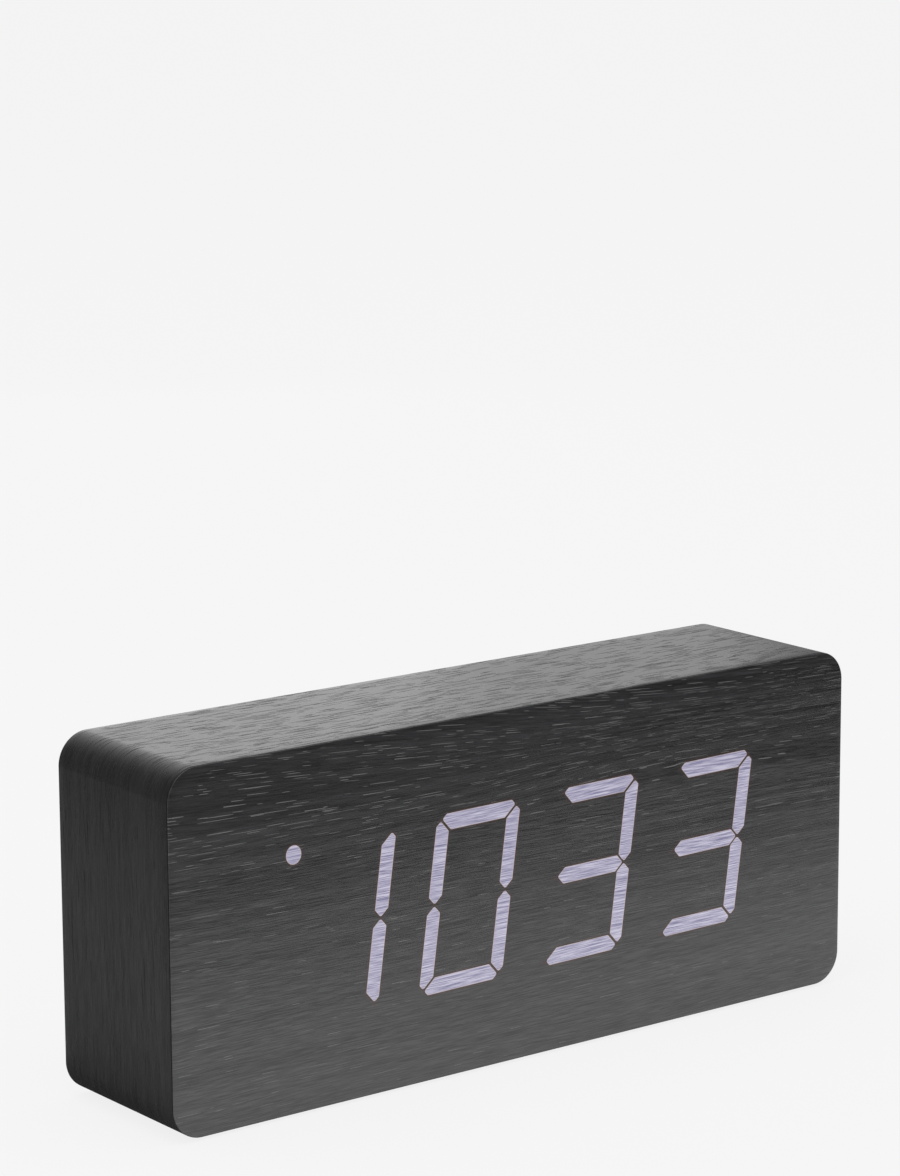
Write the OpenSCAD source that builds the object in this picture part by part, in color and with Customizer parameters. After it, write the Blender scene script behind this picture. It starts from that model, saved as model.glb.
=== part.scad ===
// Digital alarm clock: a wood-veneered block whose digits shine through the front sheet.
// Millimetres. The front faces -Y, the top faces +Z, and the foot pads stand on z = 0.

/* [Case] */
// Overall width across the wrap veneer
case_w = 210; // [188:1:240]
// Height of the veneered block without its foot pads
case_h = 89.2; // [80:0.2:110]
// Overall depth from the front sheet to the rear edge
case_d = 47; // [42:0.1:70]
// Outer corner radius of the block, seen from the front
corner_r = 8; // [4:0.5:14]
// Thickness of the veneer wrapped around the tube
wrap_t = 0.5; // [0.3:0.1:0.9]
// Thickness of the front veneer sheet
face_t = 0.4; // [0.3:0.1:0.8]
// Wall thickness of the board tube
wall_t = 7; // [5:0.5:8]
// Inner corner radius of the board tube
inner_r = 3; // [1:0.5:5]

/* [Feet] */
// Diameter of a foot pad
foot_d = 12; // [8:0.5:16]
// Thickness of a foot pad
foot_t = 0.8; // [0.5:0.1:3]
// Foot pad centre in from the side of the block
foot_in_x = 22; // [16:1:50]
// Foot pad centre in from the front and rear of the block
foot_in_y = 10; // [9:0.5:14]

/* [Display] */
// Thickness of the moulded front plate
plate_t = 2.5; // [2:0.1:3]
// Thickness of the black mask film
mask_t = 0.3; // [0.2:0.05:0.4]
// Thickness of the diffuser sheet
diffuser_t = 0.5; // [0.3:0.1:0.8]
// Depth of the light wells in the reflector
well_depth = 9; // [7:0.5:10]
// Digit width across its outer bars, before the slant
digit_w = 25.6; // [22:0.1:28]
// Digit height
digit_h = 44.6; // [38:0.1:50]
// Distance from digit to digit
digit_pitch = 38; // [36:0.5:38.5]
// Slant of the digits from upright, in degrees
digit_slant = 9; // [0:1:11]
// Width of the upright bars
bar_upright = 3.9; // [3:0.1:5]
// Width of the level bars
bar_level = 4.2; // [3:0.1:5]
// Dark gap between neighbouring bars
bar_gap = 0.55; // [0.4:0.05:1]
// Cut taken off the outer corners of a digit
bar_nip = 1.2; // [0.5:0.1:1.4]
// Sideways shift of the digit row from the middle of the block
row_x = 1.8; // [-3:0.1:3]
// Height shift of the digit row from the middle of the block
row_z = -0.4; // [-3:0.1:3]
// Diameter of the alarm dot
dot_d = 4.8; // [3:0.1:6]
// Alarm dot centre in from the left end of the row
dot_in = 1.8; // [0:0.1:4]
// Alarm dot centre below the top of the digits
dot_drop = 2.7; // [0:0.1:5]
// Diameter of a colon point
colon_d = 4; // [3:0.1:5]
// Height of a colon point above and below the middle of the row
colon_rise = 9; // [6:0.5:12]
// Border of the reflector around the digit row
reflector_rim = 5; // [3:0.5:6]

/* [Main board] */
// Thickness of both circuit boards
board_t = 1.6; // [1.2:0.2:2]
// Gap between the main board and the inside of the tube
board_edge = 1; // [0.5:0.1:1.2]
// Diameter of a boss on the front plate
boss_d = 7; // [5.5:0.5:8]
// Gap between a boss and the inside of the tube
boss_edge = 1.5; // [1:0.1:2]
// Thread diameter of a board screw
board_screw_d = 2.6; // [2:0.1:3]
// Length of a board screw under its head
board_screw_l = 8; // [6:0.5:9]
// Length of a light emitter
emitter_l = 2.6; // [1.6:0.1:2.8]
// Width of a light emitter
emitter_w = 1.4; // [0.8:0.1:1.8]
// Height of a light emitter
emitter_h = 0.9; // [0.5:0.1:1.6]
// Length of the driver chip
chip_l = 18; // [10:0.5:24]
// Width of the driver chip
chip_w = 7.5; // [4:0.5:10]
// Height of the driver chip
chip_h = 2.3; // [1.4:0.1:3]
// Distance from leg to leg of the driver chip
leg_pitch = 1.27; // [0.8:0.01:1.5]
// Width and thickness of a chip leg
leg_t = 0.4; // [0.2:0.05:0.5]
// Length of a chip leg past the body
leg_out = 1.2; // [0.8:0.1:2]
// Gap between the driver chip and the crystal
crystal_off = 7; // [4:0.5:10]
// Diameter of the crystal can
crystal_d = 2; // [1.5:0.1:3.2]
// Length of the crystal can
crystal_l = 6; // [5:0.5:9]

/* [Rear cover] */
// Thickness of the rear cover
cover_t = 2.2; // [2.1:0.1:3]
// Depth of the rear cover behind the rear edge of the tube
cover_recess = 2; // [1.5:0.1:3]
// Gap between the rear cover and the tube
cover_gap = 0.3; // [0.2:0.05:0.5]
// Side of a square corner block
block_s = 12; // [10:0.5:13]
// Length of a corner block
block_l = 20; // [16:0.5:22]
// Thread diameter of a rear screw
rear_screw_d = 2.9; // [2.5:0.1:3.5]
// Length of a rear screw under its head
rear_screw_l = 14; // [10:0.5:15]
// Depth of the pocket that a rear screw head sits in
head_pocket = 0.9; // [0.5:0.1:1.2]

/* [Battery bay] */
// Diameter of a cell
cell_d = 10.5; // [10:0.1:10.8]
// Length of a cell with its nub
cell_l = 44.5; // [43:0.1:46]
// Gap between neighbouring cells
cell_gap = 1; // [0.8:0.1:1.5]
// Gap between the cells and the floor of the bay
cell_front_gap = 0.3; // [0.2:0.1:0.6]
// Gap between the cells and the battery door
cell_rear_gap = 0.5; // [0.3:0.1:0.8]
// Diameter of a cell's nub
nub_d = 3.8; // [3:0.1:5]
// Height of a cell's nub
nub_h = 1; // [0.8:0.1:1.4]
// Bay centre in from the left end of the rear cover, seen from the front
bay_in = 49.2; // [46:0.1:54]
// Wall thickness of the bay
bay_wall = 1.5; // [1.2:0.1:2]
// Width of the ledge that the door lies on
ledge_w = 2.5; // [2:0.1:3]
// Thickness of the battery door
door_t = 1.9; // [1.7:0.1:2]
// Gap around the battery door
door_gap = 0.3; // [0.25:0.05:0.4]
// Gap between the battery door and the ledge under it
door_lift = 0.1; // [0.05:0.05:0.2]
// Diameter of a door hinge pin
hinge_d = 1.2; // [1:0.1:1.3]
// Length of a door hinge pin
hinge_l = 1.4; // [1:0.1:1.8]
// Length of the grip grooves cut in the door
grip_l = 18; // [10:1:24]
// Width of a grip groove
groove_w = 0.9; // [0.6:0.1:1.2]
// Depth of a grip groove
groove_t = 0.5; // [0.3:0.1:0.7]
// First grip groove below the top of the door
groove_drop = 4; // [3:0.5:8]
// Diameter of the finger scoop over the door
scoop_d = 12.6; // [10:0.1:16]
// Thickness of a rib between the cells
rib_t = 0.8; // [0.6:0.1:1]
// Height of a rib between the cells
rib_h = 2.6; // [2:0.1:3.5]
// Thickness of the contact strips
contact_t = 0.5; // [0.3:0.1:0.7]
// Side of a square contact pad
pad_s = 8.6; // [8:0.1:9.4]
// Width of the solder tail of a contact
tail_w = 3; // [2:0.1:4]
// Length of the solder tail past the bay
tail_out = 3; // [2.4:0.1:4]
// Length of a contact spring between its pad and the cell
spring_l = 4.2; // [4:0.1:6]
// Wire diameter of a contact spring
spring_wire = 0.6; // [0.4:0.05:0.65]
// Diameter of a contact spring at its pad
spring_wide = 7; // [6:0.1:7.6]
// Diameter of a contact spring at the cell
spring_slim = 4.6; // [4:0.1:5.4]

/* [Controls] */
// Control group centre in from the right end of the rear cover, seen from the front
key_in = 53.2; // [52:0.1:55]
// Width of the key board
key_board_w = 78; // [76:0.5:79]
// Height of the key board
key_board_h = 46; // [44:0.5:50]
// Diameter of a button
button_d = 7; // [5:0.1:8]
// Distance from button to button
button_pitch = 15; // [13:0.5:16]
// Height of the button row above the middle of the block
button_rise = 10; // [8:0.5:11]
// Height that a button stands out of the cover
button_out = 1.2; // [0.8:0.1:1.4]
// Press of a button
button_travel = 0.5; // [0.3:0.1:0.7]
// Diameter of the flange that keeps a button in the cover
flange_d = 9.4; // [9:0.1:11]
// Thickness of the button flange
flange_t = 1; // [0.8:0.1:1.4]
// Side of a square key switch
key_s = 6; // [5:0.1:7]
// Height of a key switch body
key_h = 3.5; // [3:0.1:4.5]
// Diameter of a key switch plunger
plunger_d = 3.4; // [3:0.1:3.8]
// Height that a plunger stands out of its switch
plunger_out = 1; // [0.8:0.1:1.4]
// Length of the stem between a button's flange and its plunger
stem_l = 1.2; // [0.8:0.1:2]
// Round on the rim of a button
button_edge = 0.5; // [0.2:0.1:0.8]
// Depth of the dish in a button
dish_t = 0.25; // [0.1:0.05:0.4]
// First button, sideways from the middle of the control group
button_first = -24; // [-26:0.5:-22]
// Sound switch centre, sideways from the middle of the control group
switch_x = 24; // [22:0.5:25]
// Slide of the sound switch
switch_travel = 2; // [1.5:0.1:2.5]
// Length of the sound switch knob
knob_l = 4.4; // [3.6:0.1:5]
// Width of the sound switch knob
knob_w = 3; // [2.4:0.1:3.6]
// Width and depth of a groove across the sound switch knob
knob_groove = 0.5; // [0.3:0.1:0.7]
// Wall of the sound switch around its knob
switch_wall = 0.9; // [0.6:0.1:1.2]
// Height of the lower row of parts below the middle of the block
lower_row = 11; // [9:0.5:12]
// Power inlet, sideways from the middle of the control group
inlet_off = 24; // [20:0.5:26]
// Outer diameter of the power inlet
inlet_d = 8; // [7:0.1:10]
// Bore of the power inlet
inlet_bore = 3.8; // [3.4:0.1:5.6]
// Depth of the power inlet bore
inlet_depth = 7; // [6:0.1:7.8]
// Diameter of the power inlet pin
inlet_pin_d = 1.3; // [1:0.05:1.7]
// Depth of the pin's end inside the power inlet
inlet_pin_in = 1; // [0.5:0.1:2]
// Buzzer, sideways from the middle of the control group
buzzer_off = -16; // [-18:0.5:-14]
// Diameter of the buzzer
buzzer_d = 12; // [9:0.5:13]
// Height of the buzzer
buzzer_h = 5.5; // [4:0.1:6]
// Microphone, sideways from the middle of the control group
mic_off = 5; // [2:0.5:8]
// Diameter of the microphone
mic_d = 6; // [4:0.1:8]
// Height of the microphone
mic_h = 2.7; // [2:0.1:5]
// Diameter of a sound hole
sound_hole_d = 1.8; // [1:0.1:2.4]
// Radius of the ring of sound holes
sound_ring_r = 3.6; // [3:0.1:4.5]
// Diameter of a screw boss behind the rear cover
key_boss_d = 5.5; // [5:0.1:6]
// Boss centre in from the edges of the key board
key_boss_in = 4; // [3.5:0.1:5]
// Thread diameter of a key board screw
key_screw_d = 2.2; // [1.8:0.1:2.5]
// Length of a key board screw under its head
key_screw_l = 6; // [5:0.1:7]

/* [Wiring] */
// Width of the ribbon cable
ribbon_w = 10; // [6:0.5:16]
// Thickness of the ribbon cable
ribbon_t = 0.8; // [0.5:0.1:1]
// Height difference between the two ends of the ribbon cable
ribbon_rise = 6; // [2:0.5:8]
// Height of a ribbon header
header_h = 5; // [4:0.5:6]
// Thickness of a ribbon header
header_t = 4.5; // [3:0.1:6]
// Width of a ribbon header past the sides of the ribbon
header_side = 1.5; // [1:0.1:3]
// Lower end of the ribbon below the middle of the block
ribbon_drop = 6; // [4:0.5:10]
// Diameter of a battery lead
lead_d = 1.2; // [0.8:0.1:1.6]
// Bend radius of a battery lead
lead_bend = 2.4; // [2:0.1:2.8]
// Battery lead end in from the edge of the key board
lead_in = 4; // [3:0.1:6]

/* [Fits] */
// Clearance around turning and sliding fits
run_gap = 0.05; // [0.02:0.01:0.1]
// Clearance around a screw thread in its pilot bore
thread_gap = 0.05; // [0.02:0.01:0.1]
// Clearance around a fixed piece in its opening
loose_gap = 0.15; // [0.1:0.05:0.25]
// Clearance around a button or knob in the cover
slip_gap = 0.3; // [0.2:0.05:0.4]
// Extra rounding of the tube under the veneer's corners
corner_relief = 0.2; // [0.1:0.05:0.3]

/* [Hidden] */
$fn = 48;
// heights and depths of the layers, front to rear
mid_z = foot_t + case_h / 2;
front_y = -case_d / 2;
rear_y = case_d / 2;
plate_y = front_y + face_t;
shell_y = plate_y + plate_t;
diffuser_y = shell_y + mask_t;
reflector_y = diffuser_y + diffuser_t;
board_y = reflector_y + well_depth;
board_rear_y = board_y + board_t;
cover_rear_y = rear_y - cover_recess;
cover_y = cover_rear_y - cover_t;
// board tube
shell_w = case_w - 2 * wrap_t;
shell_h = case_h - 2 * wrap_t;
shell_r = corner_r - wrap_t + corner_relief;
open_w = shell_w - 2 * wall_t;
open_h = shell_h - 2 * wall_t;
// digits
half_w = digit_w / 2;
half_h = digit_h / 2;
mitre = bar_gap / sqrt(2);
lean = tan(digit_slant);
row_w = 3 * digit_pitch + digit_w + digit_h * lean;
reflector_w = row_w + 2 * reflector_rim;
reflector_h = digit_h + 2 * reflector_rim;
display_z = mid_z + row_z;
digit_xs = [for (i = [0:3]) row_x + (i - 1.5) * digit_pitch];
top_bar = [
    [-half_w + bar_level + mitre, half_h - bar_level],
    [-half_w + bar_nip + mitre, half_h - bar_nip],
    [-half_w + 2 * bar_nip + mitre, half_h],
    [half_w - 2 * bar_nip - mitre, half_h],
    [half_w - bar_nip - mitre, half_h - bar_nip],
    [half_w - bar_level - mitre, half_h - bar_level]
];
side_bar = [
    [-half_w + bar_upright, half_h - bar_upright - mitre],
    [-half_w + bar_nip, half_h - bar_nip - mitre],
    [-half_w, half_h - 2 * bar_nip - mitre],
    [-half_w, mitre + bar_upright / 2],
    [-half_w + bar_upright / 2, mitre],
    [-half_w + bar_upright, mitre + bar_upright / 2]
];
middle_tip = half_w - bar_upright / 2 - mitre;
middle_bar = [
    [-middle_tip, 0],
    [-middle_tip + bar_level / 2, bar_level / 2],
    [middle_tip - bar_level / 2, bar_level / 2],
    [middle_tip, 0],
    [middle_tip - bar_level / 2, -bar_level / 2],
    [-middle_tip + bar_level / 2, -bar_level / 2]
];
bars = [
    top_bar,
    flipped(side_bar, -1, 1),
    flipped(side_bar, -1, -1),
    flipped(top_bar, 1, -1),
    flipped(side_bar, 1, -1),
    side_bar,
    middle_bar
];
// emitter places in one digit: across, up, and 1 where the emitter lies level
side_u = half_w - bar_upright / 2;
level_u = half_w * 0.42;
upright_near = half_h * 0.28;
upright_far = half_h * 0.68;
emitter_places = concat(
    [for (s = [-1, 1], v = [-1, 0, 1]) [s * level_u, v * (half_h - bar_level / 2), 1]],
    [for (s = [-1, 1], v = [-upright_far, -upright_near, upright_near, upright_far]) [s * side_u, v, 0]]
);
dot_x = row_x - row_w / 2 + dot_in;
dot_z = display_z + half_h - dot_drop;
// main board and its bosses
board_w = open_w - 2 * board_edge;
board_h = open_h - 2 * board_edge;
boss_x = open_w / 2 - boss_edge - boss_d / 2;
boss_z = open_h / 2 - boss_edge - boss_d / 2;
chip_x = -open_w / 6;
// rear cover and its screws
cover_w = open_w - 2 * cover_gap;
cover_h = open_h - 2 * cover_gap;
rear_screw_x = open_w / 2 - block_s / 2;
rear_screw_z = open_h / 2 - block_s / 2;
head_ratio = 1.9;
pocket_d = rear_screw_d * head_ratio + 4 * loose_gap;
head_rise = 0.62;
// battery bay and door
cells = 4;
cell_pitch = cell_d + cell_gap;
bay_w = cell_l + spring_l + 2 * contact_t;
bay_h = cells * cell_pitch;
door_w = bay_w + 2 * ledge_w;
door_h = bay_h + 2 * ledge_w;
door_y = cover_rear_y - door_t;
ledge_y = door_y - door_lift;
cell_y = ledge_y - cell_rear_gap - cell_d / 2;
bay_x = bay_in - cover_w / 2;
bay_floor_y = cell_y - cell_d / 2 - cell_front_gap;
bay_front_y = bay_floor_y - bay_wall;
recess_w = door_w + 2 * door_gap;
recess_h = door_h + 2 * door_gap;
hinge_z = mid_z - door_h / 2 + door_t / 2;
hinge_y = cover_rear_y - door_t / 2;
bay_right = bay_x + bay_w / 2;
bay_left = bay_x - bay_w / 2;
// controls
key_x = cover_w / 2 - key_in;
key_top_y = cover_y - run_gap - flange_t - stem_l - plunger_out;
key_board_rear_y = key_top_y - key_h;
key_board_y = key_board_rear_y - board_t;
key_well_y = key_board_rear_y + key_h * 0.35;
button_z = mid_z + button_rise;
button_xs = [for (i = [0:2]) key_x + button_first + i * button_pitch];
slide_x = key_x + switch_x;
slide_w = knob_l + switch_travel + 2 * slip_gap;
lower_z = mid_z - lower_row;
buzzer_x = key_x + buzzer_off;
mic_x = key_x + mic_off;
inlet_x = key_x + inlet_off;
key_boss_x = key_board_w / 2 - key_boss_in;
key_boss_z = key_board_h / 2 - key_boss_in;
names = ["set", "up", "down"];
header_w = ribbon_w + 2 * header_side;
ribbon_z = mid_z - ribbon_drop;
lead_y = bay_front_y - tail_out / 2;
lead_end_x = key_x - key_board_w / 2 + lead_in;
lead_z_in = cell_d / 4;
cell_zs = [for (i = [0:cells - 1]) mid_z + (cells / 2 - 0.5 - i) * cell_pitch];
tail_zs = [cell_zs[0] - lead_z_in, cell_zs[cells - 1] + lead_z_in];

// contact spring wound to a cone: rings of its centre line, first and last runs straight along the axis
spring_turns = 2.5;
spring_rings = 8;
spring_sides = 6;
coil_l = spring_l - 2 * spring_wire;
coil_n = spring_turns * spring_rings;
coil = [for (i = [0:coil_n]) coil_point(i)];
spring_path = concat([coil[0] - [spring_wire, 0, 0]], coil, [coil[coil_n] + [spring_wire, 0, 0]]);
spring_gap = min([for (i = [0:coil_n - 5], k = [i + 5:coil_n]) norm(coil[i] - coil[k])]) - spring_wire;
echo(least_gap_between_spring_curls = spring_gap);

function flipped(points, sx, sz) = [for (p = points) [sx * p[0], sz * p[1]]];
function slanted(points) = [for (p = points) [p[0] + lean * p[1], p[1]]];
function coil_radius(t) = (spring_wide + (spring_slim - spring_wide) * t - spring_wire) / 2;
function coil_point(i) = [
    spring_wire + coil_l * i / coil_n,
    coil_radius(i / coil_n) * cos(i * 360 / spring_rings),
    coil_radius(i / coil_n) * sin(i * 360 / spring_rings)
];
function unit(v) = v / norm(v);
function path_way(p, i) = unit(p[min(i + 1, len(p) - 1)] - p[max(i - 1, 0)]);
function ring_point(p, i, k) =
    let (way = path_way(p, i))
    let (out = unit([0, p[i][1], p[i][2]]))
    let (side = unit(cross(way, out)))
    let (up = cross(side, way))
    let (turn = k * 360 / spring_sides)
    p[i] + spring_wire / 2 * (cos(turn) * up + sin(turn) * side);

// flat outline with four round corners
module rounded(w, h, r) {
    square([w - 2 * r, h], center = true);
    square([w, h - 2 * r], center = true);
    for (x = [-1, 1], z = [-1, 1]) {
        translate([x * (w / 2 - r), z * (h / 2 - r)]) circle(r);
    }
}

// outline in x and z, drawn from depth y0 to depth y1
module layer(y0, y1) {
    translate([0, y1, 0]) rotate([90, 0, 0]) linear_extrude(y1 - y0) children();
}

// cylinder along the depth, from y0 to y1
module rod(x, z, d, y0, y1) {
    translate([x, y1, z]) rotate([90, 0, 0]) cylinder(h = y1 - y0, d = d);
}

// block between two corners
module block(x0, x1, y0, y1, z0, z1) {
    translate([x0, y0, z0]) cube([x1 - x0, y1 - y0, z1 - z0]);
}

// block centred at x and z, from depth y0 to depth y1
module slab(x, z, w, h, y0, y1) {
    block(x - w / 2, x + w / 2, y0, y1, z - h / 2, z + h / 2);
}

// pan-head screw seated at y = 0, thread toward -Y, head toward +Y
module screw(d, l) {
    head_d = d * head_ratio;
    head_h = d * head_rise;
    edge = head_h * 0.45;
    difference() {
        rotate([-90, 0, 0]) rotate_extrude() {
            square([head_d / 2 - edge, head_h]);
            square([head_d / 2, head_h - edge]);
            intersection() {
                translate([head_d / 2 - edge, head_h - edge]) circle(edge);
                square([head_d, head_h]);
            }
        }
        for (a = [0, 90]) {
            rotate([0, a, 0]) slab(0, 0, head_d * 0.6, d * 0.22, head_h * 0.4, head_h * 1.4);
        }
    }
    rod(0, 0, d, -l + d / 2, head_h * 0.2);
    translate([0, -l + d / 2, 0]) rotate([90, 0, 0]) cylinder(h = d / 2, d1 = d, d2 = d * 0.3);
}

module front_veneer() {
    color("#2f2f30") layer(front_y, plate_y) translate([0, mid_z]) rounded(case_w, case_h, corner_r);
}

module wrap_veneer() {
    color("#38383a") layer(plate_y, rear_y) translate([0, mid_z]) difference() {
        rounded(case_w, case_h, corner_r);
        rounded(shell_w, shell_h, corner_r - wrap_t);
    }
}

module front_plate() {
    color("#3b3a40") difference() {
        union() {
            layer(plate_y, shell_y) translate([0, mid_z]) rounded(shell_w, shell_h, shell_r);
            for (x = [-boss_x, boss_x], z = [-boss_z, boss_z]) {
                rod(x, mid_z + z, boss_d, shell_y - plate_t / 2, board_y);
            }
        }
        for (x = [-boss_x, boss_x], z = [-boss_z, boss_z]) {
            rod(x, mid_z + z, board_screw_d + 2 * thread_gap, board_y - board_screw_l, board_y + 1);
        }
    }
}

module case_shell() {
    color("#9a7850") layer(shell_y, rear_y) translate([0, mid_z]) difference() {
        rounded(shell_w, shell_h, shell_r);
        rounded(open_w, open_h, inner_r);
    }
}

module display_windows() {
    for (x = digit_xs, b = bars) translate([x, display_z]) polygon(slanted(b));
    translate([dot_x, dot_z]) circle(d = dot_d);
    for (s = [-1, 1]) {
        translate([row_x + s * lean * colon_rise, display_z + s * colon_rise]) circle(d = colon_d);
    }
}

module display_sheet(y0, y1) {
    layer(y0, y1) translate([row_x, display_z]) square([reflector_w, reflector_h], center = true);
}

module display_mask() {
    color("#151515") difference() {
        display_sheet(shell_y, diffuser_y);
        layer(shell_y - 1, diffuser_y + 1) display_windows();
    }
}

module diffuser() {
    color("#e8e8ee") display_sheet(diffuser_y, reflector_y);
}

module display_reflector() {
    color("#f2f2f0") difference() {
        display_sheet(reflector_y, board_y);
        layer(reflector_y - 1, board_y + 1) display_windows();
    }
}

module main_board() {
    color("#1f5a38") difference() {
        layer(board_y, board_rear_y) translate([0, mid_z]) rounded(board_w, board_h, inner_r);
        for (x = [-boss_x, boss_x], z = [-boss_z, boss_z]) {
            rod(x, mid_z + z, board_screw_d + 2 * loose_gap, board_y - 1, board_rear_y + 1);
        }
    }
}

module emitter(x, z, level) {
    a = level ? emitter_l : emitter_w;
    b = level ? emitter_w : emitter_l;
    block(x - a / 2, x + a / 2, board_y - emitter_h, board_y, z - b / 2, z + b / 2);
}

module light_emitters() {
    color("#f3efc8") {
        for (x = digit_xs, p = emitter_places) emitter(x + p[0] + lean * p[1], display_z + p[1], p[2] == 1);
        emitter(dot_x, dot_z, true);
        for (s = [-1, 1]) emitter(row_x + s * lean * colon_rise, display_z + s * colon_rise, true);
    }
}

module driver_chip() {
    legs = floor(chip_l / leg_pitch) - 1;
    color("#1d1d1f") slab(chip_x, mid_z, chip_l, chip_w, board_rear_y + leg_t / 2, board_rear_y + chip_h);
    color("#c9c9c9") for (i = [0:legs - 1]) {
        x = chip_x + (i - (legs - 1) / 2) * leg_pitch;
        slab(x, mid_z, leg_t, chip_w + 2 * leg_out, board_rear_y, board_rear_y + leg_t);
    }
}

module clock_crystal() {
    x = chip_x + chip_l / 2 + crystal_off;
    color("#c4c4c4") translate([x, board_rear_y + crystal_d / 2, mid_z - crystal_l / 2]) {
        cylinder(h = crystal_l, d = crystal_d);
    }
}

module board_screws() {
    color("#b9b9b9") for (x = [-boss_x, boss_x], z = [-boss_z, boss_z]) {
        translate([x, board_rear_y, mid_z + z]) screw(board_screw_d, board_screw_l);
    }
}

module corner_block(i) {
    sx = i % 2 == 0 ? -1 : 1;
    sz = i < 2 ? -1 : 1;
    outline = [[inner_r, 0], [block_s, 0], [block_s, block_s], [0, block_s], [0, inner_r]];
    color("#a98a5f") difference() {
        layer(cover_y - block_l, cover_y) translate([sx * open_w / 2, mid_z + sz * open_h / 2]) {
            polygon(flipped(outline, -sx, -sz));
        }
        rod(sx * rear_screw_x, mid_z + sz * rear_screw_z, rear_screw_d + 2 * thread_gap,
            cover_y - rear_screw_l, cover_y + 1);
    }
}

module cover_positive() {
    layer(cover_y, cover_rear_y) translate([0, mid_z]) rounded(cover_w, cover_h, inner_r);
    // slab behind the door ledge, and the bay box
    slab(bay_x, mid_z, recess_w + 2 * bay_wall, recess_h + 2 * bay_wall, ledge_y - bay_wall, cover_rear_y);
    slab(bay_x, mid_z, bay_w + 2 * bay_wall, bay_h + 2 * bay_wall, bay_front_y, ledge_y);
    for (x = [-key_boss_x, key_boss_x], z = [-key_boss_z, key_boss_z]) {
        rod(key_x + x, mid_z + z, key_boss_d, key_board_rear_y, cover_y + cover_t / 2);
    }
}

module rear_cover() {
    color("#202022") union() {
        difference() {
            cover_positive();
            slab(bay_x, mid_z, recess_w, recess_h, ledge_y, cover_rear_y + 1);
            slab(bay_x, mid_z, bay_w, bay_h, bay_floor_y, cover_rear_y + 1);
            // sockets of the door hinge
            translate([bay_x, hinge_y, hinge_z]) rotate([0, 90, 0]) {
                cylinder(h = door_w + 2 * hinge_l + 2 * run_gap, d = hinge_d + 2 * run_gap, center = true);
            }
            // finger scoop over the top edge of the door
            rod(bay_x, mid_z + door_h / 2, scoop_d, ledge_y + door_t / 4, cover_rear_y + 1);
            // slots for the two battery tails
            for (i = [0, 1]) {
                block(bay_right - contact_t - loose_gap, bay_right, bay_front_y - 1, bay_floor_y + 1,
                    tail_zs[i] - tail_w / 2 - loose_gap, tail_zs[i] + tail_w / 2 + loose_gap);
            }
            for (x = [-rear_screw_x, rear_screw_x], z = [-rear_screw_z, rear_screw_z]) {
                rod(x, mid_z + z, rear_screw_d + 2 * loose_gap, cover_y - 1, cover_rear_y + 1);
                rod(x, mid_z + z, pocket_d, cover_rear_y - head_pocket, cover_rear_y + 1);
            }
            for (x = button_xs) rod(x, button_z, button_d + 2 * slip_gap, cover_y - 1, cover_rear_y + 1);
            slab(slide_x, button_z, slide_w, knob_w + 2 * slip_gap, cover_y - 1, cover_rear_y + 1);
            rod(inlet_x, lower_z, inlet_d + 2 * loose_gap, cover_y - 1, cover_rear_y + 1);
            rod(buzzer_x, lower_z, sound_hole_d, cover_y - 1, cover_rear_y + 1);
            for (a = [0:60:300]) {
                hole = [buzzer_x, lower_z] + sound_ring_r * [cos(a), sin(a)];
                rod(hole[0], hole[1], sound_hole_d, cover_y - 1, cover_rear_y + 1);
            }
            rod(mic_x, lower_z, sound_hole_d, cover_y - 1, cover_rear_y + 1);
            for (x = [-key_boss_x, key_boss_x], z = [-key_boss_z, key_boss_z]) {
                rod(key_x + x, mid_z + z, key_screw_d + 2 * thread_gap, key_board_rear_y - 1,
                    key_board_rear_y + key_screw_l - board_t);
            }
        }
        // ribs between the cells
        for (i = [1:cells - 1]) {
            z = mid_z + (cells / 2 - i) * cell_pitch;
            slab(bay_x, z, bay_w * 0.8, rib_t, bay_floor_y - bay_wall / 2, bay_floor_y + rib_h);
        }
    }
}

module rear_screws() {
    color("#8f8f92") for (x = [-rear_screw_x, rear_screw_x], z = [-rear_screw_z, rear_screw_z]) {
        translate([x, cover_rear_y - head_pocket, mid_z + z]) screw(rear_screw_d, rear_screw_l);
    }
}

module battery_door() {
    top_z = mid_z + door_h / 2;
    color("#1f1f21") difference() {
        union() {
            block(bay_x - door_w / 2, bay_x + door_w / 2, door_y, cover_rear_y, hinge_z, top_z);
            translate([bay_x, hinge_y, hinge_z]) rotate([0, 90, 0]) {
                cylinder(h = door_w, d = door_t, center = true);
                cylinder(h = door_w + 2 * hinge_l, d = hinge_d, center = true);
            }
        }
        for (i = [0:3]) {
            z = top_z - groove_drop - i * 2 * groove_w;
            slab(bay_x, z, grip_l, groove_w, cover_rear_y - groove_t, cover_rear_y + 1);
        }
    }
}

// cells lie across the clock, their nubs pointing right and left in turn
module battery_cell(i) {
    way = i % 2 == 0 ? 1 : -1;
    nub_x = way > 0 ? bay_right - contact_t : bay_left + contact_t;
    body_l = cell_l - nub_h;
    color("#4b5a6b") translate([nub_x, cell_y, cell_zs[i]]) rotate([0, -90 * way, 0]) {
        cylinder(h = 2 * nub_h, d = nub_d);
        translate([0, 0, nub_h]) cylinder(h = body_l, d = cell_d);
    }
}

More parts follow.
